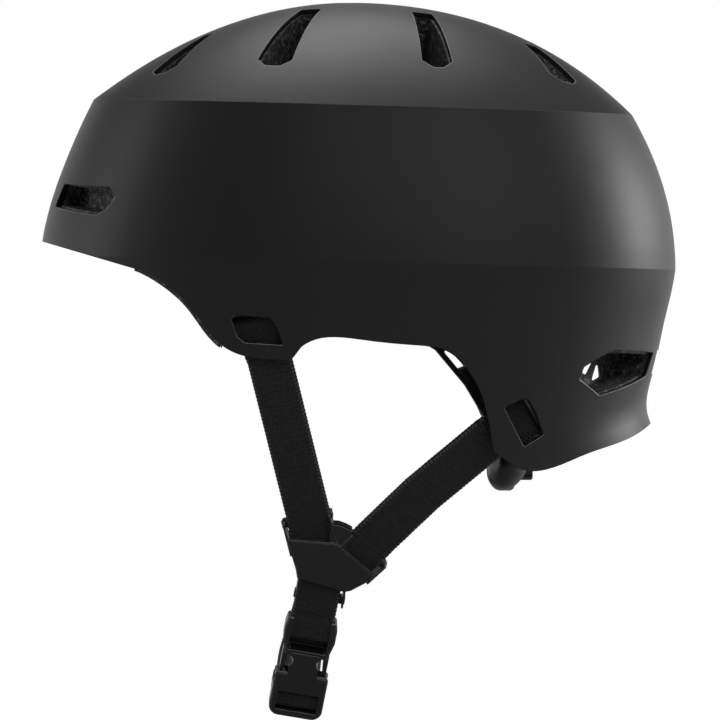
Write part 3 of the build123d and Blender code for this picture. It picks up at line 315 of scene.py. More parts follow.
    def build_weave(self) -> bpy.types.NodeTree:
        """Build the yarns of webbing and its beaded selvage. The vector is metres across and along."""
        sizes = (("Rib", 0.00106), ("Yarn", 0.0008), ("Half Width", 0.0095), ("Bead", 0.00185))
        sheet, given, result = EffectGroup("webbing yarns", sizes, ("Height", "Shade", "Edge")).start()
        parts = sheet.add("SeparateXYZ", Vector=given["Vector"])
        across, along = parts.outputs["X"], parts.outputs["Y"]
        drift = sheet.add("TexNoise", Vector=given["Vector"], Scale=self.drift_scale, Detail=2.0)
        reach = sheet.math("MULTIPLY", given["Rib"], self.drift_share)
        bent = sheet.math("MULTIPLY_ADD", drift.outputs["Fac"], reach, along)
        row = sheet.math("DIVIDE", bent, given["Rib"])
        stagger = sheet.math("MULTIPLY", sheet.math("FLOOR", row), self.yarn_stagger)
        column = sheet.math("ADD", sheet.math("DIVIDE", across, given["Yarn"]), stagger)
        rib, yarn = self.waves(sheet, row), self.waves(sheet, column)
        height = sheet.math("MULTIPLY", sheet.math("POWER", rib, self.rib_power),
                            sheet.math("POWER", yarn, self.yarn_power))
        cell = sheet.add("CombineXYZ", X=sheet.math("FLOOR", column), Y=sheet.math("FLOOR", row))
        tone = sheet.add("TexWhiteNoise", {"noise_dimensions": "2D"}, Vector=cell.outputs["Vector"])
        fuzz = sheet.add("TexNoise", Vector=given["Vector"], Scale=self.fuzz_scale, Detail=3.0,
                         Roughness=0.7)
        # Random tone per yarn, which weights the painted highlight on raised ribs.
        highlight_weight = sheet.math("MULTIPLY", sheet.math("POWER", tone.outputs["Value"], self.tone_power),
                          sheet.ramp(fuzz.outputs["Fac"], *self.fuzz_range))
        tint = sheet.math("MULTIPLY_ADD", highlight_weight, self.tone_gain, self.tone_base)
        humps = self.waves(sheet, sheet.math("DIVIDE", along, given["Bead"]))
        bead = sheet.math("POWER", humps, self.selvage_power)
        inset = sheet.math("SUBTRACT", given["Half Width"], sheet.math("ABSOLUTE", across))
        rim = sheet.math("SUBTRACT", 1.0, sheet.ramp(inset, *self.selvage_range))
        # Raised ribs are painted lighter by their height: a painted highlight on rib tops and painted shade
        # between them, weighted by the random yarn tone.
        shade = sheet.math("MULTIPLY", height, tint)
        # The Edge output marks selvage bead crests for a painted highlight.
        sheet.feed(result, Height=height, Shade=shade, Edge=sheet.math("MULTIPLY", bead, rim))
        return sheet.tree

    @staticmethod
    def waves(sheet: NodeSheet, turns: bpy.types.NodeSocket) -> bpy.types.NodeSocket:
        """Give humps of height 1, one for each whole number that the turns pass."""
        return sheet.math("ABSOLUTE", sheet.math("SINE", sheet.math("MULTIPLY", turns, math.pi)))

    def build_knit(self) -> bpy.types.NodeTree:
        """Build the small loops of brushed knit."""
        sheet, given, result = EffectGroup("knit loops", (("Loop", 0.0011),), ("Height", "Tone")).start()
        scale = sheet.math("DIVIDE", 1.0, given["Loop"])
        loops = sheet.add("TexVoronoi", {"feature": "SMOOTH_F1"}, Vector=given["Vector"], Scale=scale,
                          Randomness=self.loop_randomness)
        nap = sheet.add("TexNoise", Vector=given["Vector"], Detail=4.0,
                        Scale=sheet.math("MULTIPLY", scale, self.nap_share))
        height = sheet.math("SUBTRACT", nap.outputs["Fac"], loops.outputs["Distance"])
        sheet.feed(result, Height=height, Tone=nap.outputs["Fac"])
        return sheet.tree


# Finishes


@dataclass(frozen=True)
class Finish:
    """What every finish has: its name, its main colour, its roughness and its rounded edges."""

    title: str
    colour: Numbers
    roughness: float
    edge_radius: float = 0.0004

    def start(self) -> tuple[bpy.types.Material, NodeSheet, bpy.types.Node, bpy.types.NodeSocket]:
        """Make the material and its shader.

        Returns:
            The material, its sheet, the shader node and the coordinates.
        """
        material = bpy.data.materials.new(self.title)
        material.use_nodes = True
        sheet = NodeSheet(material.node_tree)
        shader = next(node for node in sheet.tree.nodes if node.type == "BSDF_PRINCIPLED")
        sheet.feed(shader, Base_Color=(*self.colour, 1.0), Roughness=self.roughness)
        return material, sheet, shader, sheet.add("TexCoord").outputs["Object"]

    def relief(self, sheet: NodeSheet, shader: bpy.types.Node, height: bpy.types.NodeSocket,
               depth: float) -> None:
        """Feed a height to the shader's normal, over rounded edges.

        Args:
            sheet: The material's sheet.
            shader: The shader node.
            height: The height socket.
            depth: The depth of the relief in metres.
        """
        rounded = sheet.add("Bevel", {"samples": EDGE_SAMPLES}, Radius=self.edge_radius)
        bump = sheet.add("Bump", Height=height, Distance=depth, Strength=1.0, Normal=rounded.outputs[0])
        sheet.feed(shader, Normal=bump.outputs[0])


@dataclass(frozen=True)
class MouldedFinish(Finish):
    """Moulded plastic with a spark grain, soft smears, a little dust and a painted highlight on edges that
    face up.
    """

    pitch: float = 0.0005
    depth: float = 0.00002
    smear_size: float = 0.07
    smear_change: float = 0.05
    dust_colour: Numbers = (0.22, 0.22, 0.22)
    dust_share: float = 0.25
    fleck_gain: float = 1.5
    fleck_lift: float = 0.003
    fleck_share: float = 0.4
    # Radius and pale grey of the painted highlight on edges that face up.
    worn_radius: float = 0.0007
    worn_colour: Numbers = (0.42, 0.42, 0.43)

    def material(self, effects: Effects) -> bpy.types.Material:
        """Build the material.

        Args:
            effects: The node groups.

        Returns:
            The material.
        """
        material, sheet, shader, place = self.start()
        grain = sheet.group(effects.grain, Vector=place, Pitch=self.pitch)
        handling = sheet.group(effects.handling, Vector=place, Size=self.smear_size)
        highlight_weight = sheet.group(effects.worn_edges, Radius=self.worn_radius)
        lighter = tuple(value * self.fleck_gain + self.fleck_lift for value in self.colour)
        fleck = sheet.math("MULTIPLY", grain.outputs["Fleck"], self.fleck_share)
        dust = sheet.math("MULTIPLY", handling.outputs["Dust"], self.dust_share)
        dusty = sheet.mix(dust, sheet.mix(fleck, self.colour, lighter), self.dust_colour)
        # Edges that face up are painted pale grey: a painted highlight where light from above falls.
        colour = sheet.mix(highlight_weight.outputs["Mask"], dusty, self.worn_colour)
        rough = sheet.math("MULTIPLY_ADD", handling.outputs["Smear"], self.smear_change, self.roughness)
        sheet.feed(shader, Base_Color=colour, Roughness=rough)
        self.relief(sheet, shader, grain.outputs["Height"], self.depth)
        return material


@dataclass(frozen=True)
class FoamFinish(Finish):
    """Fused foam beads with painted shade in the gaps between beads, and bead-to-bead tone."""

    bead: float = 0.0014
    depth: float = 0.00025
    tone_power: float = 3.0
    # Near black of the painted shade in the gaps between foam beads.
    pore_colour: Numbers = (0.006, 0.006, 0.006)
    pale_colour: Numbers = (0.3, 0.3, 0.31)

    def material(self, effects: Effects) -> bpy.types.Material:
        """Build the material.

        Args:
            effects: The node groups.

        Returns:
            The material.
        """
        material, sheet, shader, place = self.start()
        beads = sheet.group(effects.beads, Vector=place, Bead=self.bead)
        tone = sheet.math("POWER", beads.outputs["Tone"], self.tone_power)
        toned = sheet.mix(tone, self.colour, self.pale_colour)
        # The gaps between beads are painted near black: painted shade.
        sheet.feed(shader, Base_Color=sheet.mix(beads.outputs["Pore"], toned, self.pore_colour))
        self.relief(sheet, shader, beads.outputs["Height"], self.depth)
        return material


@dataclass(frozen=True)
class WebbingFinish(Finish):
    """Woven webbing. It follows the piece's UV map, in metres across and along. Raised ribs and selvage bead
    crests are painted lighter: a painted highlight, with painted shade between the ribs.
    """

    rib: float = 0.00106
    yarn: float = 0.0008
    depth: float = 0.0003
    sheen: float = 0.06
    sheen_roughness: float = 0.45
    # Painted highlight colours: on raised ribs, then on selvage bead crests.
    lift_colour: Numbers = (0.05, 0.05, 0.052)
    edge_colour: Numbers = (0.09, 0.09, 0.09)

    def material(self, effects: Effects) -> bpy.types.Material:
        """Build the material.

        Args:
            effects: The node groups.

        Returns:
            The material.
        """
        material, sheet, shader, _ = self.start()
        run = sheet.add("UVMap", {"uv_map": "run"}).outputs[0]
        yarns = sheet.group(effects.weave, Vector=run, Rib=self.rib, Yarn=self.yarn)
        # Painted highlight on raised ribs and painted shade between them, then a painted highlight on selvage
        # bead crests.
        rib_highlighted = sheet.mix(yarns.outputs["Shade"], self.colour, self.lift_colour)
        sheet.feed(shader, Base_Color=sheet.mix(yarns.outputs["Edge"], rib_highlighted, self.edge_colour),
                   Sheen_Weight=self.sheen, Sheen_Roughness=self.sheen_roughness)
        self.relief(sheet, shader, yarns.outputs["Height"], self.depth)
        return material


@dataclass(frozen=True)
class KnitFinish(Finish):
    """Brushed knit over soft foam."""

    loop: float = 0.0011
    depth: float = 0.0003
    sheen: float = 0.4
    sheen_roughness: float = 0.5
    nap_colour: Numbers = (0.06, 0.06, 0.063)

    def material(self, effects: Effects) -> bpy.types.Material:
        """Build the material.

        Args:
            effects: The node groups.

        Returns:
            The material.
        """
        material, sheet, shader, place = self.start()
        knit = sheet.group(effects.knit, Vector=place, Loop=self.loop)
        sheet.feed(shader, Base_Color=sheet.mix(knit.outputs["Tone"], self.colour, self.nap_colour),
                   Sheen_Weight=self.sheen, Sheen_Roughness=self.sheen_roughness)
        self.relief(sheet, shader, knit.outputs["Height"], self.depth)
        return material


SHELL = MouldedFinish("matte shell", (0.0095, 0.0095, 0.0098), 0.5, edge_radius=0.0007, pitch=0.0006,
                      depth=0.000016, smear_size=0.09, smear_change=0.04, dust_colour=(0.1, 0.1, 0.1))
FITTING = MouldedFinish("satin fitting", (0.012, 0.012, 0.0125), 0.36, pitch=0.0004, depth=0.000014,
                        smear_size=0.03, smear_change=0.08)
BAND = MouldedFinish("fit band plastic", (0.02, 0.02, 0.021), 0.42, edge_radius=0.0003, depth=0.000012,
                     smear_size=0.04, smear_change=0.08)
DIAL = MouldedFinish("grip dial", (0.012, 0.012, 0.0125), 0.6, pitch=0.0004, depth=0.00003, smear_size=0.03)
KEEPER = MouldedFinish("keeper rubber", (0.012, 0.012, 0.012), 0.7, pitch=0.0004, depth=0.00003,
                       smear_size=0.02)
FOAM = FoamFinish("liner foam", (0.04, 0.04, 0.041), 0.55, edge_radius=0.0005)
WEBBING = WebbingFinish("webbing", (0.002, 0.002, 0.0021), 0.7, edge_radius=0.0002)
PAD = KnitFinish("pad knit", (0.012, 0.012, 0.0125), 0.9, edge_radius=0.0006)


class Wardrobe:
    """Every finish as a material, made when first asked for."""

    def __init__(self) -> None:
        """Build the node groups."""
        self.effects = Effects()
        self.made: dict[str, bpy.types.Material] = {}

    def wear(self, piece: bpy.types.Object, finish: Finish, slot: str) -> None:
        """Give a piece its finish.

        Args:
            piece: The piece.
            finish: The finish.
            slot: Not used.
        """
        if finish.title not in self.made:
            self.made[finish.title] = finish.material(self.effects)
        piece.data.materials.clear()
        piece.data.materials.append(self.made[finish.title])


# Pieces


@dataclass(frozen=True)
class Crease:
    """A crease round the shell, in a plane that tilts along the helmet."""

    front: Numbers
    rear: Numbers
    reach: float = 0.00006

    def holds(self, edge: bmesh.types.BMEdge) -> bool:
        """Say whether an edge lies on the crease.

        Args:
            edge: The edge.

        Returns:
            Whether both its ends lie in the crease's plane.
        """
        slope = (self.rear[1] - self.front[1]) / (self.rear[0] - self.front[0])
        return all(abs(vertex.co.z - self.front[1] - (vertex.co.x - self.front[0]) * slope) < self.reach
                   for vertex in edge.verts)


BELT_CREASE = Crease((-0.1172, 0.0705), (0.1197, 0.0638))
LOWER_CREASE = Crease((-0.1405, 0.0020), (0.1388, -0.0044))


class Workshop:
    """What every sub-assembly builds with: the frame, the finishes and the report of each piece."""

    def __init__(self, frame: dict, wardrobe: Wardrobe) -> None:
        """Keep the frame and the finishes.

        Args:
            wardrobe: The finishes.
        """
        self.frame = frame
        self.wardrobe = wardrobe
        self.body_of = {node: body for body, nodes in self.bodies().items() for node in nodes}

    def bodies(self) -> dict[str, list[str]]:
        """Give the record's bodies with their nodes."""
        return self.frame["record"]["behaviour"]["bodies"]

    def finish_mesh(self, bm: bmesh.types.BMesh, name: str, sharp: float = 35.0,
                    creases: tuple[Crease, ...] = ()) -> bpy.types.Object:
        """Turn a bmesh into an object with smooth faces and sharp edges.

        Args:
            bm: The bmesh, which is freed.
            name: The piece's name.
            sharp: The angle in degrees above which an edge stays sharp.
            creases: Lines of a soft crease, whose edges stay sharp too.

        Returns:
            The object, in the scene.
        """
        for face in bm.faces:
            face.smooth = True
        for edge in bm.edges:
            flat = not edge.is_manifold or edge.calc_face_angle(0) < math.radians(sharp)
            edge.smooth = flat and not any(crease.holds(edge) for crease in creases)
        mesh = bpy.data.meshes.new(name)
        bm.to_mesh(mesh)
        bm.free()
        piece = bpy.data.objects.new(name, mesh)
        bpy.context.scene.collection.objects.link(piece)
        return piece

    def copy_node(self, node: str, name: str, sharp: float = 35.0,
                  creases: tuple[Crease, ...] = ()) -> bpy.types.Object:
        """Make a smooth piece from a CAD node's mesh and let it stand for the node.

        Args:
            node: The CAD node.
            name: The new piece's name.
            sharp: The angle in degrees above which an edge stays sharp.
            creases: Lines of a soft crease, whose edges stay sharp too.

        Returns:
            The piece.
        """
        bm = bmesh.new()
        bm.from_mesh(self.frame["nodes"][node].data)
        bmesh.ops.remove_doubles(bm, verts=bm.verts, dist=MERGE)
        bmesh.ops.dissolve_degenerate(bm, edges=bm.edges, dist=TOUCH)
        piece = self.finish_mesh(bm, name, sharp, creases)
        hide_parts(node)
        return piece

    def slot_of(self, node: str) -> str:
        """Give the record's material slot of a node."""
        parts = self.frame["record"]["subparts"]
        return next(part["material_slot"] for part in parts if part["node"] == node)

    def blend(self, piece: bpy.types.Object, node: str, finish: Finish, first: str, second: str,
              start: Vector, end: Vector) -> None:
        """Dress a piece, bake its place into its mesh and log the two bodies named for it.

        Args:
            piece: The piece.
            node: The CAD node whose record slot is looked up.
            finish: The finish.
            first: The first body, which is only logged.
            second: The second body, which is only logged.
            start: Not used.
            end: Not used.
        """
        self.wardrobe.wear(piece, finish, self.slot_of(node))
        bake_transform(piece)
        log.info("%s: %d faces between %s and %s", piece.name, len(piece.data.polygons), first, second)

    def place(self, piece: bpy.types.Object, node: str, finish: Finish) -> None:
        """Dress a piece and let it ride on its node's body.

        Args:
            piece: The piece.
            node: The CAD node whose body it takes; its record slot is looked up.
            finish: The finish.
        """
        self.wardrobe.wear(piece, finish, self.slot_of(node))
        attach(piece, self.body_of[node])
        log.info("%s: %d faces on %s", piece.name, len(piece.data.polygons), self.body_of[node])


@dataclass
class RigidSet:
    """Pieces whose CAD shape is right. Each gets a smooth skin and a finish."""

    shop: Workshop
    finishes: dict[str, Finish] = field(default_factory=dict)
    sharp: float = 35.0
    creases: tuple[Crease, ...] = ()

    def build(self) -> None:
        """Build every piece."""
        for node, finish in self.finishes.items():
            piece = self.shop.copy_node(node, node + "_skin", self.sharp, self.creases)
            self.dress(piece, node, finish)

    def dress(self, piece: bpy.types.Object, node: str, finish: Finish) -> None:
        """Dress a finished piece."""
        self.shop.place(piece, node, finish)


@dataclass
class Helmet(RigidSet):
    """The outer shell, the foam liner and what is set into the foam."""

    finishes: dict[str, Finish] = field(default_factory=lambda: {
        "outer_shell": SHELL, "foam_liner": FOAM,
        "front_anchor_bar_left": FITTING, "front_anchor_bar_right": FITTING,
        "rear_anchor_bar_left": FITTING, "rear_anchor_bar_right": FITTING,
        "temple_pin_left": FITTING, "temple_pin_right": FITTING,
    })
    creases: tuple[Crease, ...] = (BELT_CREASE, LOWER_CREASE)


@dataclass
class StrapFittings(RigidSet):
    """The two strap dividers and the keeper of the long strap's tail."""

    finishes: dict[str, Finish] = field(default_factory=lambda: {
        "strap_divider_left": FITTING, "strap_divider_right": FITTING, "strap_keeper": KEEPER,
    })


@dataclass
class Buckle(RigidSet):
    """The side-release buckle: its plug, two prongs and socket."""

    finishes: dict[str, Finish] = field(default_factory=lambda: {
        "buckle_plug": FITTING, "buckle_prong_front": FITTING, "buckle_prong_rear": FITTING,
        "buckle_socket": FITTING,
    })


@dataclass
class FitSystem(RigidSet):
    """The band round the back of the head, with its dial. The arms bend as their racks slide.

    The edges of a web are millimetres behind the origin and up, and its bow is millimetres behind and out.
    """

    finishes: dict[str, Finish] = field(default_factory=lambda: {
        "dial_housing": BAND, "housing_cover": BAND, "fit_rack_left": BAND, "fit_rack_right": BAND,
        "dial_pinion": BAND, "fit_dial": DIAL, "fit_arm_left": BAND, "fit_arm_right": BAND,
    })
    bend_share: float = 0.55
    web_inner: tuple[Numbers, ...] = ((43.1, -48.0), (48.4, -55.9), (51.5, -61.6), (54.6, -68.6))
    web_outer: tuple[Numbers, ...] = ((48.4, -45.8), (52.8, -54.1), (55.4, -59.4), (57.6, -69.5))
    web_bow: tuple[Numbers, ...] = (
        (42.0, 67.95), (45.0, 66.1), (48.0, 64.0), (51.0, 61.5), (54.0, 57.7), (58.0, 51.0),
    )
    web_columns: int = 8
    web_thickness: float = 0.0014
    added_sharp: float = 50.0
    cheek_rings: tuple[int, int] = (40, 24)
    cheek_middle: Numbers = (0.0650, 0.0305, -0.0896)
    cheek_radii: Numbers = (0.0084, 0.0135, 0.0122)
    cheek_lean: float = 24.0
    cheek_foot: float = 0.0239

    def build(self) -> None:
        """Build the pieces of the sub-assembly, the webs of the arms and the cheeks of the housing."""
        super().build()
        for side in Side:
            self.build_web(side)
            self.build_cheek(side)

    def bow(self, reach: float) -> float:
        """Give the arm's distance from the centre plane.

        Args:
            reach: Millimetres behind the origin.

        Returns:
            Millimetres from the centre plane.
        """
        for (near, first), (far, last) in zip(self.web_bow, self.web_bow[1:]):
            if reach <= far:
                return first + (last - first) * (reach - near) / (far - near)
        return self.web_bow[-1][1]

    def build_web(self, side: Side) -> None:
        """Build the thin web that closes the lower part of an arm.

        Args:
            side: The side of the helmet.
        """
        rows = len(self.web_inner) - 1
        bm = bmesh.new()
        bmesh.ops.create_grid(bm, x_segments=self.web_columns, y_segments=rows, size=0.5)
        for vertex in bm.verts:
            row, share = round((vertex.co.y + 0.5) * rows), vertex.co.x + 0.5
            inner, outer = Vector(self.web_inner[row]), Vector(self.web_outer[row])
            reach, height = inner.lerp(outer, share)
            vertex.co = side.turned(Vector((reach, -self.bow(reach), height)) / MM_IN_METRE)
        bmesh.ops.recalc_face_normals(bm, faces=bm.faces)
        bmesh.ops.solidify(bm, geom=bm.faces[:], thickness=self.web_thickness)
        bmesh.ops.recalc_face_normals(bm, faces=bm.faces)
        node = "fit_arm_" + side.word
        self.dress(self.shop.finish_mesh(bm, node + "_web", self.added_sharp), node, BAND)

    def build_cheek(self, side: Side) -> None:
        """Build the rounded cheek where an arm enters the dial housing.

        Args:
            side: The side of the helmet.
        """
        bm = bmesh.new()
        around, upward = self.cheek_rings
        bmesh.ops.create_uvsphere(bm, u_segments=around, v_segments=upward, radius=1.0)
        bmesh.ops.scale(bm, verts=bm.verts, vec=self.cheek_radii)
        bmesh.ops.rotate(bm, verts=bm.verts, matrix=Matrix.Rotation(math.radians(self.cheek_lean), 3, "Y"))
        reach, out, height = self.cheek_middle
        bmesh.ops.translate(bm, verts=bm.verts, vec=(reach, -out, height))
        bmesh.ops.bisect_plane(bm, geom=bm.verts[:] + bm.edges[:] + bm.faces[:], dist=TOUCH,
                               plane_co=(0, -self.cheek_foot, 0), plane_no=(0, 1, 0), clear_outer=True)
        bmesh.ops.holes_fill(bm, edges=[edge for edge in bm.edges if edge.is_boundary], sides=0)
        for vertex in bm.verts:
            vertex.co = side.turned(vertex.co)
        bmesh.ops.recalc_face_normals(bm, faces=bm.faces)
        cheek = self.shop.finish_mesh(bm, "housing_cheek_" + side.word, self.added_sharp)
        self.shop.place(cheek, "dial_housing", FITTING)

    def dress(self, piece: bpy.types.Object, node: str, finish: Finish) -> None:
        """Dress a piece, and hand an arm to blend with the temple and its rack as its two bodies."""
        if not node.startswith("fit_arm"):
            super().dress(piece, node, finish)
            return
        side = Side[node.rsplit("_", 1)[1].upper()]
        low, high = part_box(node)
        near, far = sorted((abs(low[1]), abs(high[1])))
        bend = low[0] + (high[0] - low[0]) * self.bend_share
        start, end = side.turned((bend, -far, low[2])), side.turned((high[0], -near, low[2]))
        self.shop.blend(piece, node, finish, "fit_cradle", "rack_" + side.word, start, end)


# Webbing

# A frame is a middle and three directions, and a line is places with the webbing's width direction. The
# routes repeat those of the CAD. The buckle's bends are millimetres up the buckle and out of it.
Frame = tuple[Numbers, Numbers, Numbers, Numbers]
Line = tuple[tuple[Numbers, Numbers], ...]

FRONT_BAR: Frame = ((-0.04581, -0.09327, -0.02780), (0.9156, -0.1595, 0.3691), (-0.3600, 0.0835, 0.9292),
                    (-0.1790, -0.9837, 0.0190))
REAR_BAR: Frame = ((0.07150, -0.07349, -0.06820), (0.4798, 0.2194, -0.8495), (0.7831, 0.3294, 0.5275),
                   (0.3956, -0.9183, -0.0138))
FRONT_LINE: Line = (
    ((-0.03980, -0.09467, -0.04330), (0.9566, -0.1181, 0.2665)),
    ((-0.03380, -0.08403, -0.06730), (0.9751, -0.0898, 0.2026)),
    ((-0.02240, -0.06365, -0.11330), (0.9789, -0.0827, 0.1866)),
    ((-0.01950, -0.05625, -0.13000), (0.9876, -0.0636, 0.1436)),
)
REAR_LINE: Line = (
    ((0.05740, -0.07942, -0.07770), (0.6073, 0.3218, -0.7263)),
    ((0.02690, -0.06821, -0.10300), (0.6917, 0.2925, -0.6603)),
    ((0.00841, -0.06041, -0.12060), (0.7283, 0.2776, -0.6265)),
    ((-0.00330, -0.05523, -0.13229), (0.7377, 0.2735, -0.6173)),
)
FAR_LINE: Line = (
    ((-0.02844, -0.01609, -0.19102), (0.9828, 0.0265, -0.1828)),
    ((-0.02683, 0.02142, -0.17694), (0.9828, 0.0265, -0.1828)),
    ((-0.02617, 0.02937, -0.17339), (0.9797, -0.0248, -0.1990)),
    ((-0.02503, 0.03520, -0.16946), (0.9713, -0.0669, -0.2284)),
    ((-0.02354, 0.03953, -0.16490), (0.9643, -0.0821, -0.2519)),
    ((-0.02183, 0.04298, -0.15943), (0.9661, -0.0798, -0.2457)),
    ((-0.02000, 0.04617, -0.15281), (0.9742, -0.0762, -0.2122)),
    ((-0.01818, 0.04971, -0.14476), (0.9836, -0.0731, -0.1650)),
    ((-0.01585, 0.05485, -0.13316), (0.9836, -0.0731, -0.1650)),
)
BUCKLE_FRAME: Frame = ((-0.02455, -0.03565, -0.17650), (0.9836, 0.0731, -0.1650), (0.1805, -0.3984, 0.8993),
                       (0.0, -0.9143, -0.4051))
SHORT_HALF: tuple[Numbers, ...] = ((48.0, 0.75), (23.9, 0.75), (22.0, 2.55), (13.6, 2.55), (12.75, 1.7))
WRAP: tuple[Numbers, ...] = ((-20.45, -1.2), (-20.45, 2.25), (-14.85, 2.25), (-14.85, -1.2), (-19.75, -12.0))
TAIL_END: tuple[Numbers, Numbers] = ((-0.02651, 0.02070, -0.17532), (0.9828, 0.0265, -0.1828))


@dataclass
class WebRun:
    """The middle line of a run of webbing, in metres, evenly stepped and rounded at its bends."""

    places: list[Vector]
    widths: list[Vector]
    step: float = 0.0002425
    rounding: int = 22

    def stepped(self) -> tuple[list[Vector], list[Vector]]:
        """Step along the line and round its bends.

        Returns:
            The places and the width directions.
        """
        places, widths = [self.places[0].copy()], [self.widths[0].copy()]
        for first, last, before, after in zip(self.places, self.places[1:], self.widths, self.widths[1:]):
            count = max(1, round((last - first).length / self.step))
            for index in range(1, count + 1):
                places.append(first.lerp(last, index / count))
                widths.append(before.lerp(after, index / count).normalized())
        for _ in range(self.rounding):
            inner = [(a + b * 2 + c) / 4 for a, b, c in zip(places, places[1:], places[2:])]
            places = [places[0], *inner, places[-1]]
        return places, widths

    def frames(self) -> list[tuple[Vector, Vector, Vector]]:
        """Give each step's place, width direction and facing."""
        places, widths = self.stepped()
        rows = []
        for index, (place, width) in enumerate(zip(places, widths)):
            way = (places[min(index + 1, len(places) - 1)] - places[max(index - 1, 0)]).normalized()
            across = (width - way * width.dot(way)).normalized()
            rows.append((place, across, way.cross(across)))
        return rows


@dataclass
class Tape:
    """Flat webbing as it comes off the roll, laid along a run.

    Ribs and selvage beads are given by their pitch, and the slow wave by its radians per metre.
    """

    width: float = 0.019
    thickness: float = 0.0015
    rib: float = 0.00106
    rib_rise: float = 0.00022
    bead: float = 0.00185
    bead_rise: float = 0.00016
    face_columns: int = 26
    edge_columns: int = 4
    ridge_power: float = 0.7
    ridge_middle: float = 0.7
    bead_power: float = 2
    bead_middle: float = 0.6
    rim_width: float = 0.0012
    wave_rise: float = 0.00012
    wave_along: float = 310.0
    wave_across: float = 240.0
    wave_skew: float = 95.0

    def section(self, column: int) -> tuple[float, float, float]:
        """Go round the tape's cross-section.

        Args:
            column: The column of the grid.

        Returns:
            How far across and how far out the column lies, and its place across the weave.
        """
        half, round_half = self.width / 2, self.thickness / 2
        flat = half - round_half
        turn = self.face_columns + self.edge_columns
        side = -1 if (column // turn) % 2 else 1
        share = column % turn
        if share <= self.face_columns:
            across = side * flat * (2 * share / self.face_columns - 1)
            return across, side * round_half, across
        angle = math.pi * (0.5 - (share - self.face_columns) / self.edge_columns)
        across = side * (flat + round_half * math.cos(angle))
        return across, side * round_half * math.sin(angle), side * half

    def relief(self, across: float, out: float, along: float) -> tuple[float, float]:
        """Raise the ribs, the selvage's beads and a slow wave.

        Args:
            across: How far across the tape a point lies.
            out: How far out of its middle plane it lies.
            along: How far along the tape it lies.

        Returns:
            How far across and how far out the point comes to lie.
        """
        ridge = abs(math.sin(math.pi * along / self.rib)) ** self.ridge_power
        bead = abs(math.sin(math.pi * along / self.bead)) ** self.bead_power
        rim = max(0.0, 1 - (self.width / 2 - abs(across)) / self.rim_width)
        turn = across * self.wave_across + along * self.wave_skew
        wave = math.sin(along * self.wave_along) * math.cos(turn)
        rise = (self.rib_rise * (ridge - self.ridge_middle) * (1 - rim)
                + self.bead_rise * (bead - self.bead_middle) * rim)
        spread = across + math.copysign(self.bead_rise * (bead - 1) * rim, across)
        return spread, out + math.copysign(rise, out) + self.wave_rise * wave

    def lay(self, run: WebRun) -> bmesh.types.BMesh:
        """Bend the flat tape along a run.

        Args:
            run: The run.

        Returns:
            The tape's bmesh, with its UV map in metres.
        """
        rows = run.frames()
        columns = 2 * (self.face_columns + self.edge_columns)
        bm = bmesh.new()
        bmesh.ops.create_grid(bm, x_segments=columns, y_segments=len(rows) - 1, size=0.5)
        weave = bm.loops.layers.uv.new("run")
        spots = {}
        for vertex in bm.verts:
            column = round((vertex.co.x + 0.5) * columns)
            row = round((vertex.co.y + 0.5) * (len(rows) - 1))
            across, out, mark = self.section(column % columns)
            along = row * run.step
            spots[vertex] = (mark, along)
            spread, lift = self.relief(across, out, along)
            place, width, facing = rows[row]
            vertex.co = place + width * spread + facing * lift
        for face in bm.faces:
            for loop in face.loops:
                loop[weave].uv = spots[loop.vert]
        bmesh.ops.remove_doubles(bm, verts=bm.verts, dist=TOUCH)
        ends = [edge for edge in bm.edges if edge.is_boundary]
        bmesh.ops.holes_fill(bm, edges=ends, sides=0)
        bmesh.ops.recalc_face_normals(bm, faces=bm.faces)
        return bm


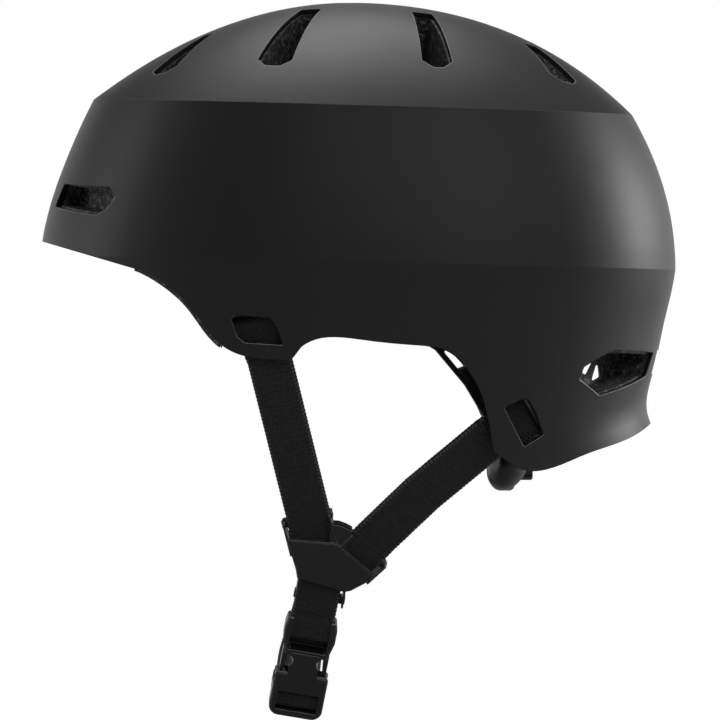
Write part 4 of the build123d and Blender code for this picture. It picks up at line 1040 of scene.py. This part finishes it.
@dataclass
class Webbing:
    """The six straps: two from each side of the helmet to its divider, the short one and the long one.

    The give shares mark where the long strap would bend when the socket leaves: between the keeper and the
    socket.
    """

    shop: Workshop
    tape: Tape = field(default_factory=Tape)
    sharp: float = 60.0
    bar_radius: float = 0.0026
    hook_turn: int = 265
    hook_step: int = 15
    buckle_rounding: int = 12
    front_bar: Frame = FRONT_BAR
    rear_bar: Frame = REAR_BAR
    front_line: Line = FRONT_LINE
    rear_line: Line = REAR_LINE
    far_line: Line = FAR_LINE
    buckle: Frame = BUCKLE_FRAME
    short_half: tuple[Numbers, ...] = SHORT_HALF
    wrap: tuple[Numbers, ...] = WRAP
    tail_end: tuple[Numbers, Numbers] = TAIL_END
    give_shares: tuple[float, float] = (0.17, -0.165)

    def build(self) -> None:
        """Build the straps."""
        for side in Side:
            self.strap("front_strap_" + side.word, side, self.front_bar, self.front_line)
            self.strap("rear_strap_" + side.word, side, self.rear_bar, self.rear_line)
        self.short_strap()
        self.long_strap()

    def strap(self, node: str, side: Side, bar: Frame, line: Line) -> None:
        """Build a strap that hooks round its anchor bar.

        Args:
            node: The CAD node that it replaces.
            side: The side of the helmet.
            bar: The bar's middle, and its directions along the bar, up the webbing and out.
            line: Places and width directions below the bar.
        """
        middle, along, up, out = bar
        places, widths = [], []
        for degrees in range(self.hook_turn, -1, -self.hook_step):
            turn = math.radians(degrees)
            ring = Vector(out) * math.cos(turn) + Vector(up) * math.sin(turn)
            places.append(side.turned(Vector(middle) + ring * self.bar_radius))
            widths.append(side.turned(along))
        places += [side.turned(place) for place, _ in line]
        widths += [side.turned(width) for _, width in line]
        self.shop.place(self.lay(node, WebRun(places, widths)), node, WEBBING)

    def on_buckle(self, height: float, out: float) -> Vector:
        """Give a place on the buckle's middle section.

        Args:
            height: Millimetres up the buckle.
            out: Millimetres out of it.

        Returns:
            The place in metres.
        """
        middle, _, up, outward = (Vector(part) for part in self.buckle)
        return middle + (up * height + outward * out) / MM_IN_METRE

    def short_strap(self) -> None:
        """Build the short chin strap: down, round the plug's bar and up again."""
        down = [self.on_buckle(height, -out) for height, out in self.short_half]
        back = [self.on_buckle(height, out) for height, out in reversed(self.short_half)]
        places = down + back
        run = WebRun(places, [Vector(self.buckle[1])] * len(places), rounding=self.buckle_rounding)
        self.shop.place(self.lay("chin_strap_left", run), "chin_strap_left", WEBBING)

    def long_strap(self) -> None:
        """Build the long chin strap: from the far divider round the socket's bar and back as a tail."""
        places = [Vector(place) for place, _ in reversed(self.far_line)]
        widths = [Vector(width) for _, width in reversed(self.far_line)]
        places += [self.on_buckle(*pair) for pair in self.wrap] + [Vector(self.tail_end[0])]
        widths += [Vector(self.buckle[1])] * len(self.wrap) + [Vector(self.tail_end[1])]
        piece = self.lay("chin_strap_right", WebRun(places, widths, rounding=self.buckle_rounding))
        low, high = Vector(self.far_line[0][0]), Vector(self.far_line[1][0])
        start, end = (low.lerp(high, share) for share in self.give_shares)
        self.shop.blend(piece, "chin_strap_right", WEBBING, "root", "socket", start, end)

    def lay(self, node: str, run: WebRun) -> bpy.types.Object:
        """Lay tape along a run and let it stand for a node.

        Args:
            node: The CAD node that it replaces.
            run: The run.

        Returns:
            The strap.
        """
        piece = self.shop.finish_mesh(self.tape.lay(run), node + "_webbing", self.sharp)
        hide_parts(node)
        return piece


# Pads


@dataclass
class Pads:
    """The five comfort pads: soft foam in brushed knit, puffed by a cloth simulation.

    The cap is how far a point of the cover may move.
    """

    shop: Workshop
    nodes: tuple[str, ...] = ("brow_pad", "crown_pad", "side_pad_left", "side_pad_right", "nape_pad")
    voxel: float = 0.0016
    shrink: float = 0.0005
    smoothing: float = 0.5
    pressure: float = 4.0
    quality: int = 4
    frames: int = 20
    cap: float = 0.0012
    fill: float = 0.7

    def build(self) -> None:
        """Build every pad."""
        for node in self.nodes:
            piece = self.shop.copy_node(node, node + "_knit")
            self.remesh(piece)
            self.puff(piece)
            rounding = piece.modifiers.new("round", "SUBSURF")
            rounding.levels = rounding.render_levels = 1
            self.apply(piece)
            piece.data.shade_smooth()
            self.shop.place(piece, node, PAD)

    @staticmethod
    def apply(piece: bpy.types.Object) -> None:
        """Turn the result of a piece's modifier into its mesh."""
        bpy.context.view_layer.update()
        done = bpy.data.meshes.new_from_object(piece.evaluated_get(bpy.context.evaluated_depsgraph_get()))
        piece.modifiers.clear()
        piece.data = done

    def remesh(self, piece: bpy.types.Object) -> None:
        """Give a pad an even mesh, a little smaller than its foam."""
        modifier = piece.modifiers.new("even", "REMESH")
        modifier.mode = "VOXEL"
        modifier.voxel_size = self.voxel
        self.apply(piece)
        bm = bmesh.new()
        bm.from_mesh(piece.data)
        bmesh.ops.smooth_vert(bm, verts=bm.verts, factor=self.smoothing, use_axis_x=True, use_axis_y=True,
                              use_axis_z=True)
        bm.normal_update()
        for vertex in bm.verts:
            vertex.co -= vertex.normal * self.shrink
        bm.to_mesh(piece.data)
        bm.free()

    def puff(self, piece: bpy.types.Object) -> None:
        """Blow the cover up, then limit how far any point moved."""
        rest = [vertex.co.copy() for vertex in piece.data.vertices]
        modifier = piece.modifiers.new("cover", "CLOTH")
        modifier.settings.use_pressure = True
        modifier.settings.uniform_pressure_force = self.pressure
        modifier.settings.effector_weights.gravity = 0.0
        modifier.settings.quality = self.quality
        modifier.point_cache.frame_end = self.frames
        for frame in range(1, self.frames + 1):
            bpy.context.scene.frame_set(frame)
        self.apply(piece)
        bpy.context.scene.frame_set(1)
        for vertex, before in zip(piece.data.vertices, rest):
            moved = vertex.co - before
            if moved.length > self.cap:
                vertex.co = before + moved.normalized() * self.cap


# Studio


@dataclass
class Studio:
    """Floor, lights, world and camera.

    The picture is frame_width wide at the helmet. The floor lies below the lowest place of the released
    buckle. A lamp has its name, place, width and height, and watts.
    """

    frame_width: float = 0.3168
    middle_z: float = -0.044
    distance: float = 10.0
    sensor_width: float = 36.0
    clip_end: float = 200.0
    floor_colour: Numbers = (0.5, 0.5, 0.5)
    floor_roughness: float = 0.9
    floor_z: float = -0.2345
    floor_reach: float = 40.0
    floor_lift: float = 0.9
    lift_range: Numbers = (0.5, 2.0)
    room_level: float = 0.14
    backdrop_side: Numbers = (0.15, 0.45)
    backdrop_top: Numbers = (0.1, 0.45)
    lamps: tuple[tuple[str, Numbers, Numbers, float], ...] = (
        ("top softbox", (-0.03, 0.45, 1.20), (0.55, 0.9), 8.0),
        ("front softbox", (-1.35, 0.00, 0.30), (0.5, 1.2), 4.2),
        ("rear softbox", (1.25, 0.42, 0.30), (0.5, 0.5), 10.0),
        ("camera softbox", (0.60, -1.3, 0.70), (1.0, 0.8), 4.3),
    )

    def build(self) -> None:
        """Build the studio."""
        self.build_floor()
        self.build_world()
        for name, place, size, power in self.lamps:
            self.build_lamp(name, place, size, power)
        self.build_camera()

    def build_floor(self) -> None:
        """Build the floor."""
        bm = bmesh.new()
        bmesh.ops.create_grid(bm, x_segments=1, y_segments=1, size=self.floor_reach)
        bmesh.ops.translate(bm, verts=bm.verts, vec=(0, 0, self.floor_z))
        mesh = bpy.data.meshes.new("studio_floor")
        bm.to_mesh(mesh)
        bm.free()
        floor = bpy.data.objects.new("studio_floor", mesh)
        bpy.context.scene.collection.objects.link(floor)
        mesh.materials.append(self.floor_material())

    def floor_material(self) -> bpy.types.Material:
        """Build the pale floor's material: white to the camera and see-through from below.

        Returns:
            The material.
        """
        finish = Finish("pale floor", self.floor_colour, self.floor_roughness)
        material, sheet, shader, coordinates = finish.start()
        output = next(node for node in sheet.tree.nodes if node.type == "OUTPUT_MATERIAL")
        path = sheet.add("LightPath")
        place = sheet.add("SeparateXYZ", Vector=coordinates)
        behind = sheet.ramp(place.outputs["Y"], *self.lift_range)
        mirrored = sheet.math("MAXIMUM", path.outputs["Is Glossy Ray"], path.outputs["Is Transmission Ray"])
        seen = sheet.math("MAXIMUM", sheet.math("MULTIPLY", mirrored, behind), path.outputs["Is Camera Ray"])
        lift = sheet.add("Emission", Strength=sheet.math("MULTIPLY", seen, self.floor_lift))
        both = sheet.add("AddShader", in0=shader.outputs[0], in1=lift.outputs[0])
        below = sheet.add("NewGeometry").outputs["Backfacing"]
        open_below = sheet.add("MixShader", in0=below, in1=both.outputs[0],
                               in2=sheet.add("BsdfTransparent").outputs[0])
        sheet.feed(output, Surface=open_below.outputs[0])
        return material

    def build_world(self) -> None:
        """Build the world: white to the camera, with a pale backdrop behind the helmet in a dim room."""
        world = bpy.data.worlds.new("studio")
        world.use_nodes = True
        bpy.context.scene.world = world
        sheet = NodeSheet(world.node_tree)
        shader = next(node for node in sheet.tree.nodes if node.type == "BACKGROUND")
        path = sheet.add("LightPath")
        seen = sheet.math("MAXIMUM", path.outputs["Is Glossy Ray"], path.outputs["Is Transmission Ray"])
        way = sheet.add("SeparateXYZ", Vector=sheet.add("TexCoord").outputs["Generated"])
        low = sheet.math("SUBTRACT", 1.0, sheet.ramp(way.outputs["Z"], *self.backdrop_top))
        behind = sheet.math("MULTIPLY", sheet.ramp(way.outputs["Y"], *self.backdrop_side), low)
        shown = sheet.math("MAXIMUM", sheet.math("MULTIPLY", seen, behind), self.room_level)
        level = sheet.math("MAXIMUM", shown, path.outputs["Is Camera Ray"])
        sheet.feed(shader, Color=(1.0, 1.0, 1.0, 1.0), Strength=level)

    def build_lamp(self, name: str, place: Numbers, size: Numbers, power: float) -> None:
        """Build one softbox that faces the helmet.

        Args:
            name: The lamp's name.
            place: Where it stands.
            size: Its width and height.
            power: Its power in watts.
        """
        light = bpy.data.lights.new(name, "AREA")
        light.shape = "RECTANGLE"
        light.size, light.size_y = size
        light.energy = power
        lamp = bpy.data.objects.new(name, light)
        lamp.location = place
        lamp.rotation_euler = (-Vector(place)).to_track_quat("-Z", "Y").to_euler()
        bpy.context.scene.collection.objects.link(lamp)

    def build_camera(self) -> None:
        """Build the camera: level, square to the helmet's side, with a long lens."""
        data = bpy.data.cameras.new("camera")
        data.sensor_width = self.sensor_width
        data.lens = self.sensor_width * self.distance / self.frame_width
        data.clip_end = self.clip_end
        camera = bpy.data.objects.new("camera", data)
        camera.location = (0, -self.distance, self.middle_z)
        camera.rotation_euler = (math.radians(90), 0, 0)
        bpy.context.scene.collection.objects.link(camera)
        bpy.context.scene.camera = camera


def main() -> None:
    """Build the whole scene around the frame."""
    logging.basicConfig(level=logging.INFO, format="%(message)s")
    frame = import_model()
    bpy.context.scene.view_settings.view_transform = "Standard"
    shop = Workshop(frame, Wardrobe())
    for assembly in (Helmet, StrapFittings, Buckle, FitSystem, Webbing, Pads):
        assembly(shop).build()
    Studio().build()


if __name__ == "__main__":
    main()
